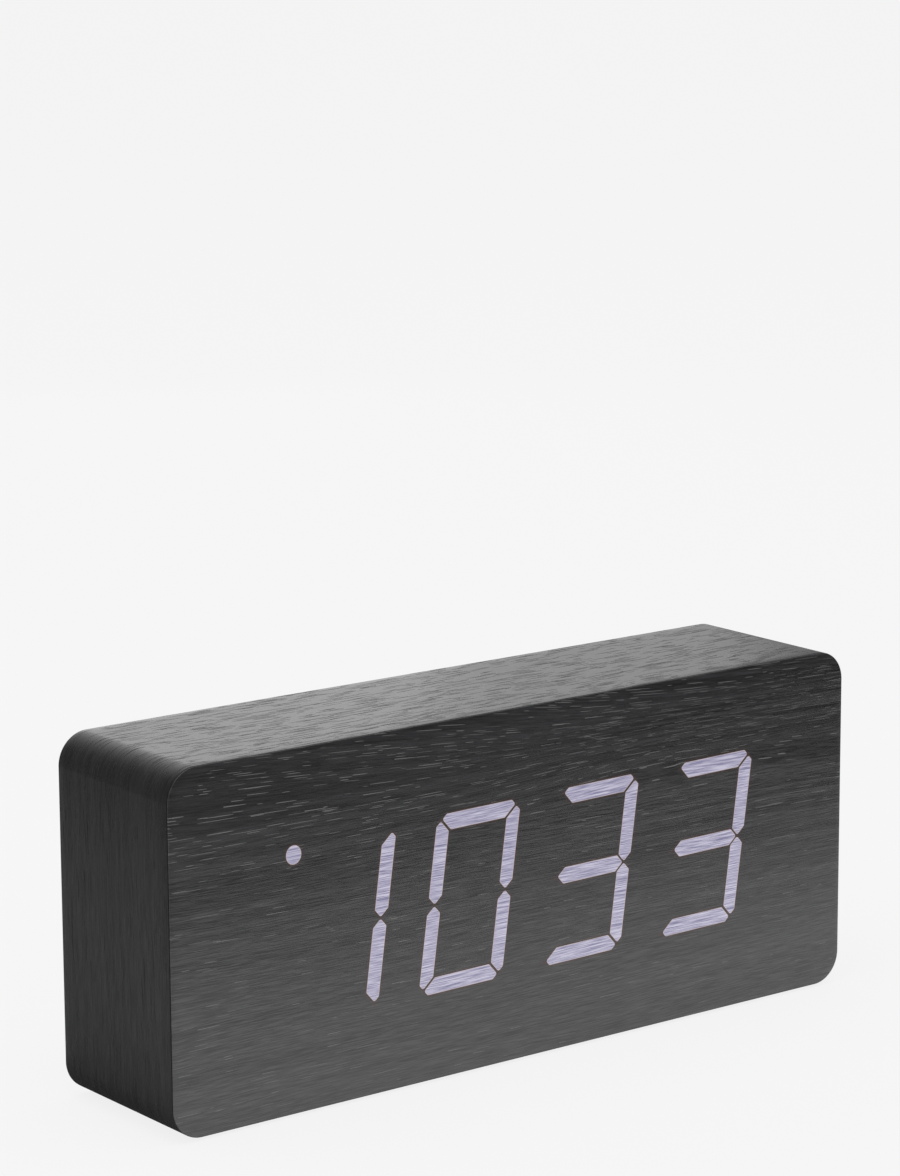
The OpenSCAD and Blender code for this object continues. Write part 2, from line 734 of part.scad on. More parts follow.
// strip 1 and strip 5 end the row of cells, the others join a cell to the next one
module contact_strip(i) {
    right = i == 0 || i == 2 || i == 4;
    first = i == 0 ? 0 : i - 1;
    last = min(i, cells - 1);
    x = right ? bay_right - contact_t : bay_left;
    tail = i == 0 || i == 4;
    color("#d0d0d2") union() {
        block(x, x + contact_t, cell_y - pad_s / 2, cell_y + pad_s / 2,
            cell_zs[last] - pad_s / 2, cell_zs[first] + pad_s / 2);
        if (tail) {
            z = tail_zs[i == 0 ? 0 : 1];
            block(x, x + contact_t, bay_front_y - tail_out, cell_y, z - tail_w / 2, z + tail_w / 2);
        }
    }
}

module contact_spring() {
    n = len(spring_path);
    rings = [for (i = [0:n - 1], k = [0:spring_sides - 1]) ring_point(spring_path, i, k)];
    walls = [for (i = [0:n - 2], k = [0:spring_sides - 1]) let (m = (k + 1) % spring_sides) [
        i * spring_sides + k, (i + 1) * spring_sides + k, (i + 1) * spring_sides + m, i * spring_sides + m
    ]];
    ends = [
        [for (k = [0:spring_sides - 1]) k],
        [for (k = [spring_sides - 1:-1:0]) (n - 1) * spring_sides + k]
    ];
    polyhedron(rings, concat(walls, ends), convexity = 6);
}

module contact_springs() {
    color("#c6c6c8") for (i = [0:cells - 1]) {
        left = i % 2 == 0;
        x = left ? bay_left + contact_t : bay_right - contact_t;
        translate([x, cell_y, cell_zs[i]]) rotate([0, 0, left ? 0 : 180]) contact_spring();
    }
}

module battery_lead(z) {
    run = lead_end_x - lead_bend - bay_right;
    translate([bay_right, lead_y, z]) rotate([0, 90, 0]) cylinder(h = run, d = lead_d);
    translate([lead_end_x - lead_bend, lead_y + lead_bend, z]) rotate([0, 0, -90]) {
        rotate_extrude(angle = 90) translate([lead_bend, 0]) circle(d = lead_d);
    }
    rod(lead_end_x, z, lead_d, lead_y + lead_bend, key_board_y);
}

module battery_leads() {
    color("#7a2222") battery_lead(tail_zs[0]);
    color("#1b1b1b") battery_lead(tail_zs[1]);
}

module key_board() {
    color("#1f5a38") difference() {
        slab(key_x, mid_z, key_board_w, key_board_h, key_board_y, key_board_rear_y);
        for (x = [-key_boss_x, key_boss_x], z = [-key_boss_z, key_boss_z]) {
            rod(key_x + x, mid_z + z, key_screw_d + 2 * loose_gap, key_board_y - 1, key_board_rear_y + 1);
        }
    }
}

module key_board_screws() {
    color("#b9b9b9") for (x = [-key_boss_x, key_boss_x], z = [-key_boss_z, key_boss_z]) {
        translate([key_x + x, key_board_y, mid_z + z]) rotate([0, 0, 180]) screw(key_screw_d, key_screw_l);
    }
}

module button(i) {
    out_y = cover_rear_y + button_out;
    flange_y = cover_y - run_gap - flange_t;
    cap_l = out_y - flange_y;
    color("#2a2a2c") difference() {
        union() {
            rod(button_xs[i], button_z, plunger_d, flange_y - stem_l, flange_y + flange_t / 2);
            rod(button_xs[i], button_z, flange_d, flange_y, flange_y + flange_t);
            translate([button_xs[i], flange_y, button_z]) rotate([-90, 0, 0]) rotate_extrude() {
                square([button_d / 2 - button_edge, cap_l]);
                square([button_d / 2, cap_l - button_edge]);
                intersection() {
                    translate([button_d / 2 - button_edge, cap_l - button_edge]) circle(button_edge);
                    square([button_d, cap_l]);
                }
            }
        }
        // shallow dish for the fingertip
        translate([button_xs[i], out_y + button_d * 2.5 - dish_t, button_z]) sphere(d = button_d * 5);
    }
}

module key_body(i) {
    color("#333336") difference() {
        slab(button_xs[i], button_z, key_s, key_s, key_board_rear_y, key_top_y);
        rod(button_xs[i], button_z, plunger_d + 2 * run_gap, key_well_y, key_top_y + 1);
    }
}

module key_plunger(i) {
    foot_y = key_well_y + button_travel + run_gap;
    color("#c9b48a") rod(button_xs[i], button_z, plunger_d, foot_y, key_top_y + plunger_out);
}

module sound_switch_body() {
    w = slide_w + 2 * switch_wall;
    d = knob_w + 2 * switch_wall;
    color("#5a5a5d") difference() {
        slab(slide_x, button_z, w, d, key_board_rear_y, key_top_y);
        slab(slide_x, button_z, slide_w, knob_w + 2 * run_gap, key_well_y, key_top_y + 1);
    }
}

// knob drawn at the left end of its slide
module sound_switch_knob() {
    x = slide_x - switch_travel / 2;
    out_y = cover_rear_y + button_out;
    color("#2c2c2e") difference() {
        slab(x, button_z, knob_l, knob_w, key_well_y + run_gap, out_y);
        for (i = [-1, 0, 1]) {
            slab(x + i * knob_l / 4, button_z, knob_groove, 2 * knob_w, out_y - knob_groove, out_y + 1);
        }
    }
}

module power_inlet() {
    color("#18181a") difference() {
        rod(inlet_x, lower_z, inlet_d, key_board_rear_y, cover_rear_y);
        rod(inlet_x, lower_z, inlet_bore, cover_rear_y - inlet_depth, cover_rear_y + 1);
    }
}

module inlet_pin() {
    tip = inlet_pin_d / 3;
    end_y = cover_rear_y - inlet_pin_in;
    color("#d4d4d6") union() {
        rod(inlet_x, lower_z, inlet_pin_d, cover_rear_y - inlet_depth, end_y - tip);
        translate([inlet_x, end_y - tip, lower_z]) rotate([-90, 0, 0]) {
            cylinder(h = tip, d1 = inlet_pin_d, d2 = inlet_pin_d - tip);
        }
    }
}

module buzzer() {
    end_y = key_board_rear_y + buzzer_h;
    color("#222224") difference() {
        rod(buzzer_x, lower_z, buzzer_d, key_board_rear_y, end_y);
        rod(buzzer_x, lower_z, sound_hole_d, end_y - buzzer_h * 0.6, end_y + 1);
    }
}

module microphone() {
    end_y = key_board_rear_y + mic_h;
    color("#b5b5b8") difference() {
        rod(mic_x, lower_z, mic_d, key_board_rear_y, end_y);
        rod(mic_x, lower_z, mic_d * 0.6, end_y - mic_h * 0.15, end_y + 1);
    }
}

// ribbon: an S in y and z, drawn out along x
module ribbon_cable() {
    y0 = board_rear_y + header_h;
    y1 = key_board_y - header_h;
    n = 24;
    mid = [for (i = [0:n]) [y0 + (y1 - y0) * i / n, ribbon_rise * (1 - cos(180 * i / n)) / 2]];
    way = [for (i = [0:n]) unit([y1 - y0, ribbon_rise * PI / 2 * sin(180 * i / n)])];
    upper = [for (i = [0:n]) mid[i] + ribbon_t / 2 * [-way[i][1], way[i][0]]];
    lower = [for (i = [n:-1:0]) mid[i] - ribbon_t / 2 * [-way[i][1], way[i][0]]];
    color("#8c8c90") translate([key_x - ribbon_w / 2, 0, ribbon_z]) rotate([90, 0, 90]) {
        linear_extrude(ribbon_w) polygon(concat(upper, lower));
    }
}

module header(z, y0, y1) {
    color("#e6e2d6") slab(key_x, z, header_w, header_t, y0, y1);
}

module main_header() {
    header(ribbon_z, board_rear_y, board_rear_y + header_h);
}

module key_header() {
    header(ribbon_z + ribbon_rise, key_board_y - header_h, key_board_y);
}

module foot_pad(i) {
    x = (i % 2 == 0 ? -1 : 1) * (case_w / 2 - foot_in_x);
    y = (i < 2 ? -1 : 1) * (case_d / 2 - foot_in_y);
    color("#2b2b2b") translate([x, y, 0]) cylinder(h = foot_t, d = foot_d);
}

front_veneer();
wrap_veneer();
front_plate();
case_shell();
display_mask();
diffuser();
display_reflector();
main_board();
light_emitters();
driver_chip();
clock_crystal();
board_screws();
for (i = [0:3]) {
    corner_block(i);
}
rear_cover();
rear_screws();
battery_door();
for (i = [0:3]) {
    battery_cell(i);
}
for (i = [0:4]) {
    contact_strip(i);
}
contact_springs();
battery_leads();
key_board();
key_board_screws();
for (i = [0:2]) {
    button(i);
    key_body(i);
    key_plunger(i);
}
sound_switch_body();
sound_switch_knob();
power_inlet();
inlet_pin();
buzzer();
microphone();
ribbon_cable();
main_header();
key_header();
for (i = [0:3]) {
    foot_pad(i);
}
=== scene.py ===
"""Looks of the digital alarm clock: a veneered block whose digits shine through its front sheet."""

import itertools
import logging
import math
from collections.abc import Callable
from dataclasses import dataclass, field
from enum import Enum
from functools import partial

import bpy
import numpy as np
from bpy.types import Material, NodeSocket, NodeTree, Object, World
from mathutils import Matrix, Vector
from mathutils.geometry import delaunay_2d_cdt


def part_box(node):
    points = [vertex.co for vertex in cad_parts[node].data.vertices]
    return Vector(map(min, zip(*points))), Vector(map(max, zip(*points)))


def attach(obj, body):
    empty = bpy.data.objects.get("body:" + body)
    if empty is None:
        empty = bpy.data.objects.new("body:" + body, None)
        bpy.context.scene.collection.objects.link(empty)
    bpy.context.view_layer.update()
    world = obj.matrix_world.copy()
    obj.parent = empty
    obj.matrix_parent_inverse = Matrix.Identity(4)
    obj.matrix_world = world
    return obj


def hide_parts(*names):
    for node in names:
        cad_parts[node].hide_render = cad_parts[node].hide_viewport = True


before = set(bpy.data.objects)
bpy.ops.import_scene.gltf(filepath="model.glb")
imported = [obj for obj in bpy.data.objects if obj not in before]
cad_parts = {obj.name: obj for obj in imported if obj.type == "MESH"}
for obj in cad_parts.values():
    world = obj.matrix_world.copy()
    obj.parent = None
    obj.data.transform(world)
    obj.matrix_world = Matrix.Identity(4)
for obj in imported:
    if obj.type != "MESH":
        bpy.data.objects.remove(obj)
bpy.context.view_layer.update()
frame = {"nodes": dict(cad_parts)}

log = logging.getLogger("clock")
MM = 0.001
Hex = str
Array = np.ndarray
Pair = tuple[float, float]
Triple = tuple[float, float, float]
Feed = object
Feeds = dict[str, Feed]
Adder = Callable[..., NodeSocket]


class Body(Enum):
    """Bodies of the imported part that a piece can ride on."""

    CASE = "case"
    UP = "up_button"
    DOWN = "down_button"
    SET = "set_button"


class Bar(Enum):
    """The seven bars of a digit, in the order of the part's own list."""

    TOP = 0
    UPPER_RIGHT = 1
    LOWER_RIGHT = 2
    BOTTOM = 3
    LOWER_LEFT = 4
    UPPER_LEFT = 5
    MIDDLE = 6


class Numeral(Enum):
    """Bars that light up for each numeral of the shown time."""

    ONE = (Bar.UPPER_RIGHT, Bar.LOWER_RIGHT)
    ZERO = (Bar.TOP, Bar.UPPER_RIGHT, Bar.LOWER_RIGHT, Bar.BOTTOM, Bar.LOWER_LEFT, Bar.UPPER_LEFT)
    THREE = (Bar.TOP, Bar.UPPER_RIGHT, Bar.LOWER_RIGHT, Bar.BOTTOM, Bar.MIDDLE)


class Mark(Enum):
    """Raised signs on the buttons, as their corner angles in degrees."""

    UP = (90.0, 210.0, 330.0)
    DOWN = (30.0, 150.0, 270.0)
    SET = (45.0, 135.0, 225.0, 315.0)


def linear(colour: Hex, times: float = 1.0) -> tuple[float, float, float, float]:
    """Turn an sRGB hex colour into linear light.

    Args:
        colour: a hash sign and six hex digits.
        times: factor on red, green and blue.

    Returns:
        Red, green and blue, and alpha 1.
    """
    part = np.array([int(colour[i : i + 2], 16) for i in (1, 3, 5)]) / 255
    part = np.where(part <= 0.04045, part / 12.92, ((part + 0.055) / 1.055) ** 2.4)
    return (*(part * times).tolist(), 1.0)


def add_node(
    tree: NodeTree, kind: str, feeds: tuple[Feed, ...] | Feeds = (), out: str | int = 0, **settings: Feed
) -> NodeSocket | None:
    """Add a node, set its properties, then set or link its inputs.

    Args:
        tree: node tree that takes the node.
        kind: node type without its common prefix, and its operation or data type after a colon.
        feeds: hex colours, other values or other nodes' outputs, by input name or in the open inputs' order.
        out: name of the output to hand on, or its number among the open ones.
        settings: other properties of the node.

    Returns:
        That output, or None from a node without outputs.
    """
    kind, _, mode = kind.partition(":")
    node = tree.nodes.new("ShaderNode" + kind)
    if mode:
        settings["data_type" if kind == "Mix" else "operation"] = mode
    for key, value in settings.items():
        setattr(node, key, value)
    ins, outs = ([s for s in side if s.enabled] for side in (node.inputs, node.outputs))
    for key, value in (feeds if isinstance(feeds, dict) else dict(enumerate(feeds))).items():
        socket = node.inputs[key] if isinstance(key, str) else ins[key]
        if isinstance(value, NodeSocket):
            tree.links.new(value, socket)
        else:
            socket.default_value = linear(value) if isinstance(value, str) else value
    if isinstance(out, str):
        return node.outputs[out]
    return outs[out] if outs else None


def fresh(owner: Material | World) -> Adder:
    """Empty the node tree of a new material or world.

    Args:
        owner: the material or world.

    Returns:
        The function that adds nodes to its tree.
    """
    owner.use_nodes = True
    owner.node_tree.nodes.clear()
    return partial(add_node, owner.node_tree)


def numbered(stem: str, count: int) -> tuple[str, ...]:
    """Give the names of like pieces, numbered from 1."""
    return tuple(f"{stem}_{i + 1}" for i in range(count))


def smoothstep(low: float, high: float, x: Array) -> Array:
    """Rise from 0 at low to 1 at high along 3t^2 - 2t^3."""
    t = np.clip((x - low) / (high - low), 0, 1)
    return t * t * (3 - 2 * t)


def strip_faces(rows: Array, closed: bool) -> Array:
    """Join neighbouring rows of point numbers with four-cornered faces.

    Args:
        rows: point numbers, one row per line of the grid.
        closed: True if each row closes on itself.

    Returns:
        Faces as rows of four point numbers.
    """
    right = np.roll(rows, -1, axis=1) if closed else rows[:, 1:]
    left = rows if closed else rows[:, :-1]
    return np.stack([left[:-1], left[1:], right[1:], right[:-1]], axis=-1).reshape(-1, 4)


def at_depth(flat: Array, depth: Array | float) -> Array:
    """Give flat points in x and z their depth, and list them all as rows of x, y and z."""
    y = np.broadcast_to(depth, flat.shape[:-1])
    return np.stack([flat[..., 0], y, flat[..., 1]], -1).reshape(-1, 3)


def put_mesh(name: str, points: Array, faces: list[Array], smooth_deg: float = 35.0) -> Object:
    """Put whole arrays into a new mesh object at the origin.

    Args:
        name: name of the piece.
        points: corner points in millimetres, one row each.
        faces: arrays of faces, each with its own number of corners.
        smooth_deg: edges flatter than this angle shade smooth.

    Returns:
        The new object, linked to the scene.
    """
    mesh = bpy.data.meshes.new(name)
    sizes = np.concatenate([np.full(len(f), f.shape[1]) for f in faces])
    corners = np.concatenate([f.ravel() for f in faces])
    mesh.vertices.add(len(points))
    mesh.vertices.foreach_set("co", (points * MM).astype(np.float32).ravel())
    mesh.loops.add(len(corners))
    mesh.loops.foreach_set("vertex_index", corners.astype(np.int32))
    mesh.polygons.add(len(sizes))
    mesh.polygons.foreach_set("loop_start", (np.cumsum(sizes) - sizes).astype(np.int32))
    mesh.polygons.foreach_set("use_smooth", np.ones(len(sizes), bool))
    mesh.update(calc_edges=True)
    mesh.set_sharp_from_angle(angle=math.radians(smooth_deg))
    piece = bpy.data.objects.new(name, mesh)
    bpy.context.scene.collection.objects.link(piece)
    return piece


def put_values(piece: Object, name: str, values: Array) -> None:
    """Store one number or one vector per point of a piece.

    Args:
        piece: mesh object that takes the values.
        name: name that materials read them by.
        values: one row per point.
    """
    kind, key = ("FLOAT_VECTOR", "vector") if values.ndim == 2 else ("FLOAT", "value")
    layer = piece.data.attributes.new(name, kind, "POINT")
    layer.data.foreach_set(key, values.astype(np.float32).ravel())


@dataclass(frozen=True)
class Finish:
    """A material with one surface shader, made once at its first use."""

    name: str

    def make(self) -> Material:
        """Make the material at the first call.

        Returns:
            The material, the same one at every call.
        """
        found = bpy.data.materials.get(self.name)
        if found:
            return found
        material = bpy.data.materials.new(self.name)
        add = fresh(material)
        feeds = self.dress(add)
        if "Normal" in feeds:
            height, deep_mm, strength = feeds["Normal"]
            relief = {"Height": height, "Distance": deep_mm * MM, "Strength": strength}
            feeds["Normal"] = add("Bump", relief)
        add("OutputMaterial", (add("BsdfPrincipled", feeds),))
        return material

    def dress(self, add: Adder) -> Feeds:
        """Give what feeds the shader, with its relief as a height, a depth in mm and a strength."""
        raise NotImplementedError

    def wear(self, *pieces: Object) -> None:
        """Give this finish to whole pieces in place of what they wore.

        Args:
            pieces: mesh objects.
        """
        for piece in pieces:
            piece.data.materials.clear()
            piece.data.materials.append(self.make())


@dataclass(frozen=True)
class PoreRows:
    """Open pores as tapered dashes in rows along the grain. Millimetres, and shares of a cell or a row."""

    length: float
    row: float
    thick: float
    reach: Pair
    share: float
    seed: float
    faint: float = 0.25
    core: float = 0.3
    heights: Pair = (0.25, 0.75)
    row_shift: float = 97.0

    def draw(self, add: Adder, along: NodeSocket, across: NodeSocket, dense: NodeSocket) -> NodeSocket:
        """Draw the dashes.

        Each row has its own random start. Along it, every cell holds one dash of random length, whose half
        width is h sqrt(1 - t^2) at t half lengths from its middle, at a random height in the row, in part of
        the cells.

        Args:
            add: adds a node to the material.
            along: millimetres along the grain.
            across: millimetres across the grain.
            dense: share of the cells that hold a dash.

        Returns:
            An output that is 0 outside the dashes, and up to 1 in them.
        """
        count = add("Math:MULTIPLY_ADD", (across, 1 / self.row, self.seed))
        number = add("Math:FLOOR", (count,))
        height = add("Math:FRACT", (count,))
        start = add("TexWhiteNoise", {"W": number}, "Value", noise_dimensions="1D")
        start = add("Math:MULTIPLY", (start, self.row_shift))
        place = add("Math:MULTIPLY_ADD", (along, 1 / self.length, start))
        cells = add("TexVoronoi", {"W": place, "Scale": 1}, "Distance", voronoi_dimensions="1D")
        kept, long, high = add("SeparateColor", (cells.node.outputs["Color"],)).node.outputs
        t = add("MapRange", (long, 0, 1, *self.reach))
        t = add("Math:DIVIDE", (cells, t))
        t = add("Math:MULTIPLY", (t, t))
        taper = add("Math:SUBTRACT", (1.0, t), use_clamp=True)
        taper = add("Math:SQRT", (taper,))
        half = add("Math:MULTIPLY", (taper, self.thick / self.row))
        core = add("Math:MULTIPLY", (half, self.core))
        middle = add("MapRange", (high, 0, 1, *self.heights))
        off = add("Math:SUBTRACT", (height, middle))
        off = add("Math:ABSOLUTE", (off,))
        dash = add("MapRange", (off, half, core))
        part = add("Math:MULTIPLY", (dense, self.share))
        depth = add("MapRange", (kept, part, 0.0, self.faint, 1.0))
        found = add("Math:LESS_THAN", (kept, part))
        depth = add("Math:MULTIPLY", (depth, found))
        return add("Math:MULTIPLY", (dash, depth))


@dataclass(frozen=True)
class StainedVeneer(Finish):
    """Ring-porous veneer, stained black, sanded and given a thin satin lacquer.

    To the eye: soft growth bands, fine fibre streaks and open pores as short dashes along the grain.
    The lacquer mirrors pale light at a flat angle, and the pores break that mirror.
    The piece's "grain" values hold millimetres along and across the grain, and how dense the pores lie.
    """

    stain: Hex = "#434345"
    band: Hex = "#121213"
    # Pale pores stand for light caught on the pore walls, a painted glint; the wrap gives its pores a dark
    # colour instead
    pore: Hex = "#7f7f7d"
    # Mixed in by the "edge" values: on the front sheet a painted fringe of the lit bars' light, on the wrap a
    # near-black line along its front edge
    edge: Hex = "#0c0c0c"
    band_mm: Pair = (160.0, 2.2)
    streak_mm: Pair = (8.0, 0.3)
    pores: tuple[PoreRows, ...] = (
        PoreRows(15.0, 0.75, 0.1, (0.08, 0.4), 0.9, 3.0),
        PoreRows(9.0, 0.52, 0.085, (0.08, 0.38), 0.65, 47.0),
    )
    pore_depth: float = 0.9
    gloss: float = 0.3
    pore_gloss: float = 0.9
    relief_mm: float = 0.05
    noise_rough: float = 0.6
    noise_span: Pair = (0.36, 0.64)
    crowd_span: Pair = (0.1, 0.5)
    crowd_streaks: float = 0.45
    band_share: float = 0.25
    late_span: Pair = (0.9, 0.1)
    streak_height: float = 0.55
    bump: float = 0.5

    def grain(self, add: Adder) -> tuple[NodeSocket, ...]:
        """Draw the wood.

        Args:
            add: adds a node to the material.

        Returns:
            Outputs for the bands, the streaks and the pores, each from 0 to 1. The streaks fade among dense
            pores.
        """
        grain = add("Attribute", out="Vector", attribute_name="grain")
        parts = add("SeparateXYZ", (grain,)).node.outputs
        tones = []
        for (length, width), detail in ((self.band_mm, 2), (self.streak_mm, 4)):
            steps = add("VectorMath:MULTIPLY", (grain, (1 / length, 1 / width, 0)))
            feeds = {"Vector": steps, "Scale": 1, "Detail": detail, "Roughness": self.noise_rough}
            noise = add("TexNoise", feeds, noise_dimensions="2D")
            tones.append(add("MapRange", (noise, *self.noise_span)))
        clear = add("MapRange", (parts[2], *self.crowd_span, 1.0, self.crowd_streaks))
        tones[1] = add("Mix", (clear, 0.5, tones[1]))
        pores, *others = (rows.draw(add, *parts) for rows in self.pores)
        for more in others:
            pores = add("Math:MAXIMUM", (pores, more))
        return (*tones, pores)

    def dress(self, add: Adder) -> Feeds:
        """Colour, gloss and relief from the bands, streaks and pores.

        Args:
            add: adds a node to the material.

        Returns:
            What feeds the shader.
        """
        bands, streaks, pores = self.grain(add)
        rings, edge = (add("Attribute", out="Fac", attribute_name=n) for n in ("rings", "edge"))
        tone = add("Math:MULTIPLY", (bands, self.band_share))
        tone = add("Math:MULTIPLY_ADD", (streaks, 1 - self.band_share, tone))
        late = add("MapRange", (bands, *self.late_span))
        late = add("Math:MULTIPLY", (late, rings))
        depth = add("Math:MULTIPLY", (pores, self.pore_depth))
        wood: Feed = self.band
        for share, colour in ((tone, self.stain), (late, self.band), (depth, self.pore), (edge, self.edge)):
            wood = add("Mix:RGBA", (share, wood, colour))
        gloss = add("MapRange", (pores, 0, 1, self.gloss, self.pore_gloss))
        gloss = add("Math:MAXIMUM", (gloss, edge))
        height = add("Math:MULTIPLY", (streaks, self.streak_height))
        height = add("Math:SUBTRACT", (height, pores))
        relief = (height, self.relief_mm, self.bump)
        return {"Base Color": wood, "Roughness": gloss, "Normal": relief, **self.shine(add, streaks)}

    def shine(self, add: Adder, streaks: NodeSocket) -> Feeds:
        """Give the light that comes through: none from plain veneer over board."""
        return {}


@dataclass(frozen=True)
class LitVeneer(StainedVeneer):
    """The same veneer with a bar of light behind it.

    To the eye: a lavender white that the fibres streak along the grain, with a thin warm rim.
    """

    glow: Hex = "#d2cde2"
    shade: Hex = "#747296"
    rim: Hex = "#c2b2b4"
    strength: float = 0.85

    def shine(self, add: Adder, streaks: NodeSocket) -> Feeds:
        """Light that the fibres filter, warm at the rim and lavender inside by the piece's "inner" values.

        Args:
            add: adds a node to the material.
            streaks: output of the fibre streaks.

        Returns:
            What feeds the shader's emission.
        """
        light = add("Mix:RGBA", (streaks, self.shade, self.glow))
        inner = add("Attribute", out="Fac", attribute_name="inner")
        light = add("Mix:RGBA", (inner, self.rim, light))
        return {"Emission Color": light, "Emission Strength": self.strength}


@dataclass(frozen=True)
class MouldedPlastic(Finish):
    """Injection-moulded plastic from a spark-eroded tool: an even, finely pebbled satin skin.

    Real pebbles are finer than a tenth of a millimetre; they are drawn coarser so that they show.
    """

    colour: Hex
    roughness: float = 0.5
    grit_mm: float = 0.35
    relief_mm: float = 0.02
    cloud_mm: float = 16.667
    cloud_span: Pair = (0.3, 0.7)
    cloud_tone: float = 0.2
    uneven: float = 0.08
    bump: float = 0.6

    def dress(self, add: Adder) -> Feeds:
        """Pebbles in the relief and the gloss by fine noise, and faint clouds in the colour by coarse noise.

        Args:
            add: adds a node to the material.

        Returns:
            What feeds the shader.
        """
        place = add("TexCoord", out="Object")
        grit, cloud = (
            add("TexNoise", {"Vector": place, "Scale": 1 / (size * MM), "Detail": detail})
            for size, detail in ((self.grit_mm, 2), (self.cloud_mm, 3))
        )
        dark, pale = (linear(self.colour, 1 + f) for f in (-self.cloud_tone, self.cloud_tone))
        tone = add("MapRange", (cloud, *self.cloud_span))
        shade = add("Mix:RGBA", (tone, dark, pale))
        low, high = self.roughness - self.uneven, self.roughness + self.uneven
        gloss = add("MapRange", (grit, 0, 1, low, high))
        relief = (grit, self.relief_mm, self.bump)
        return {"Base Color": shade, "Roughness": gloss, "Normal": relief}


@dataclass(frozen=True)
class PlatedMetal(Finish):
    """Stamped or turned metal with a thin bright plating: fine draw lines and a slightly uneven gloss.

    Real draw lines are hundredths of a millimetre apart; they are drawn coarser so that they show.
    """

    colour: Hex
    roughness: float = 0.3
    line_mm: float = 0.25
    line_long: float = 25.0
    spot_mm: float = 2.5
    spot_span: Pair = (0.35, 0.6)
    dull: float = 0.7
    uneven: Pair = (-0.08, 0.12)
    relief_mm: float = 0.01
    bump: float = 0.3

    def dress(self, add: Adder) -> Feeds:
        """Draw lines in the relief and the gloss by noise stretched along x, and dull spots by coarse noise.

        Args:
            add: adds a node to the material.

        Returns:
            What feeds the shader.
        """
        place = add("TexCoord", out="Object")
        fine = 1 / (self.line_mm * MM)
        along = add("Mapping", {"Vector": place, "Scale": (fine / self.line_long, fine, fine)})
        lines = add("TexNoise", {"Vector": along, "Scale": 1, "Detail": 1})
        spots = add("TexNoise", {"Vector": place, "Scale": 1 / (self.spot_mm * MM), "Detail": 3})
        tone = add("MapRange", (spots, *self.spot_span))
        dull = linear(self.colour, self.dull)
        shade = add("Mix:RGBA", (tone, dull, self.colour))
        gloss = add("MapRange", (lines, 0, 1, *(self.roughness + d for d in self.uneven)))
        relief = (lines, self.relief_mm, self.bump)
        return {"Base Color": shade, "Metallic": 1.0, "Roughness": gloss, "Normal": relief}


@dataclass(frozen=True)
class FibreBoard(Finish):
    """Pressed wood-fibre board, sawn: a felt of short fibres, stained black behind a given depth."""

    colour: Hex
    fleck: Hex
    stain: Hex
    stain_from_mm: float
    stain_fade_mm: float = 0.5
    stain_pale: float = 1.9
    fibre_mm: float = 0.5
    fibre_span: Pair = (0.35, 0.65)
    fibre_rough: float = 0.65
    roughness: float = 0.85
    relief_mm: float = 0.06
    bump: float = 0.6

    def dress(self, add: Adder) -> Feeds:
        """Felt by fine noise, and the stain behind a plane across the depth.

        Args:
            add: adds a node to the material.

        Returns:
            What feeds the shader.
        """
        place = add("TexCoord", out="Object")
        size = 1 / (self.fibre_mm * MM)
        feeds = {"Vector": place, "Scale": size, "Detail": 4, "Roughness": self.fibre_rough}
        felt = add("TexNoise", feeds)
        tone = add("MapRange", (felt, *self.fibre_span))
        raw = add("Mix:RGBA", (tone, self.fleck, self.colour))
        pale = linear(self.stain, self.stain_pale)
        dyed = add("Mix:RGBA", (tone, self.stain, pale))
        depth = add("SeparateXYZ", (place,), "Y")
        start = self.stain_from_mm * MM
        behind = add("MapRange", (depth, start, start + self.stain_fade_mm * MM))
        shade = add("Mix:RGBA", (behind, raw, dyed))
        relief = (felt, self.relief_mm, self.bump)
        return {"Base Color": shade, "Roughness": self.roughness, "Normal": relief}


@dataclass(frozen=True)
class CircuitBoard(Finish):
    """Glass-fibre board under green solder lacquer: glossy, with copper tracks showing through paler."""

    colour: Hex = "#154b2c"
    track: Hex = "#2d7446"
    cell_mm: float = 6.6
    nested: float = 5.0
    track_span: Pair = (0.5, 0.56)
    roughness: float = 0.32
    relief_mm: float = 0.03
    bump: float = 0.5

    def dress(self, add: Adder) -> Feeds:
        """Tracks as nested squares in cells, on the x and z of the board.

        Args:
            add: adds a node to the material.

        Returns:
            What feeds the shader.
        """
        place = add("TexCoord", out="Object")
        flat = add("Mapping", {"Vector": place, "Rotation": (math.pi / 2, 0, 0)})
        feeds = {"Vector": flat, "Scale": 1 / (self.cell_mm * MM)}
        ring = add("TexVoronoi", feeds, "Distance", voronoi_dimensions="2D", distance="CHEBYCHEV")
        ring = add("Math:MULTIPLY", (ring, self.nested))
        ring = add("Math:FRACT", (ring,))
        track = add("MapRange", (ring, *self.track_span))
        shade = add("Mix:RGBA", (track, self.colour, self.track))
        relief = (track, self.relief_mm, self.bump)
        return {"Base Color": shade, "Roughness": self.roughness, "Normal": relief}


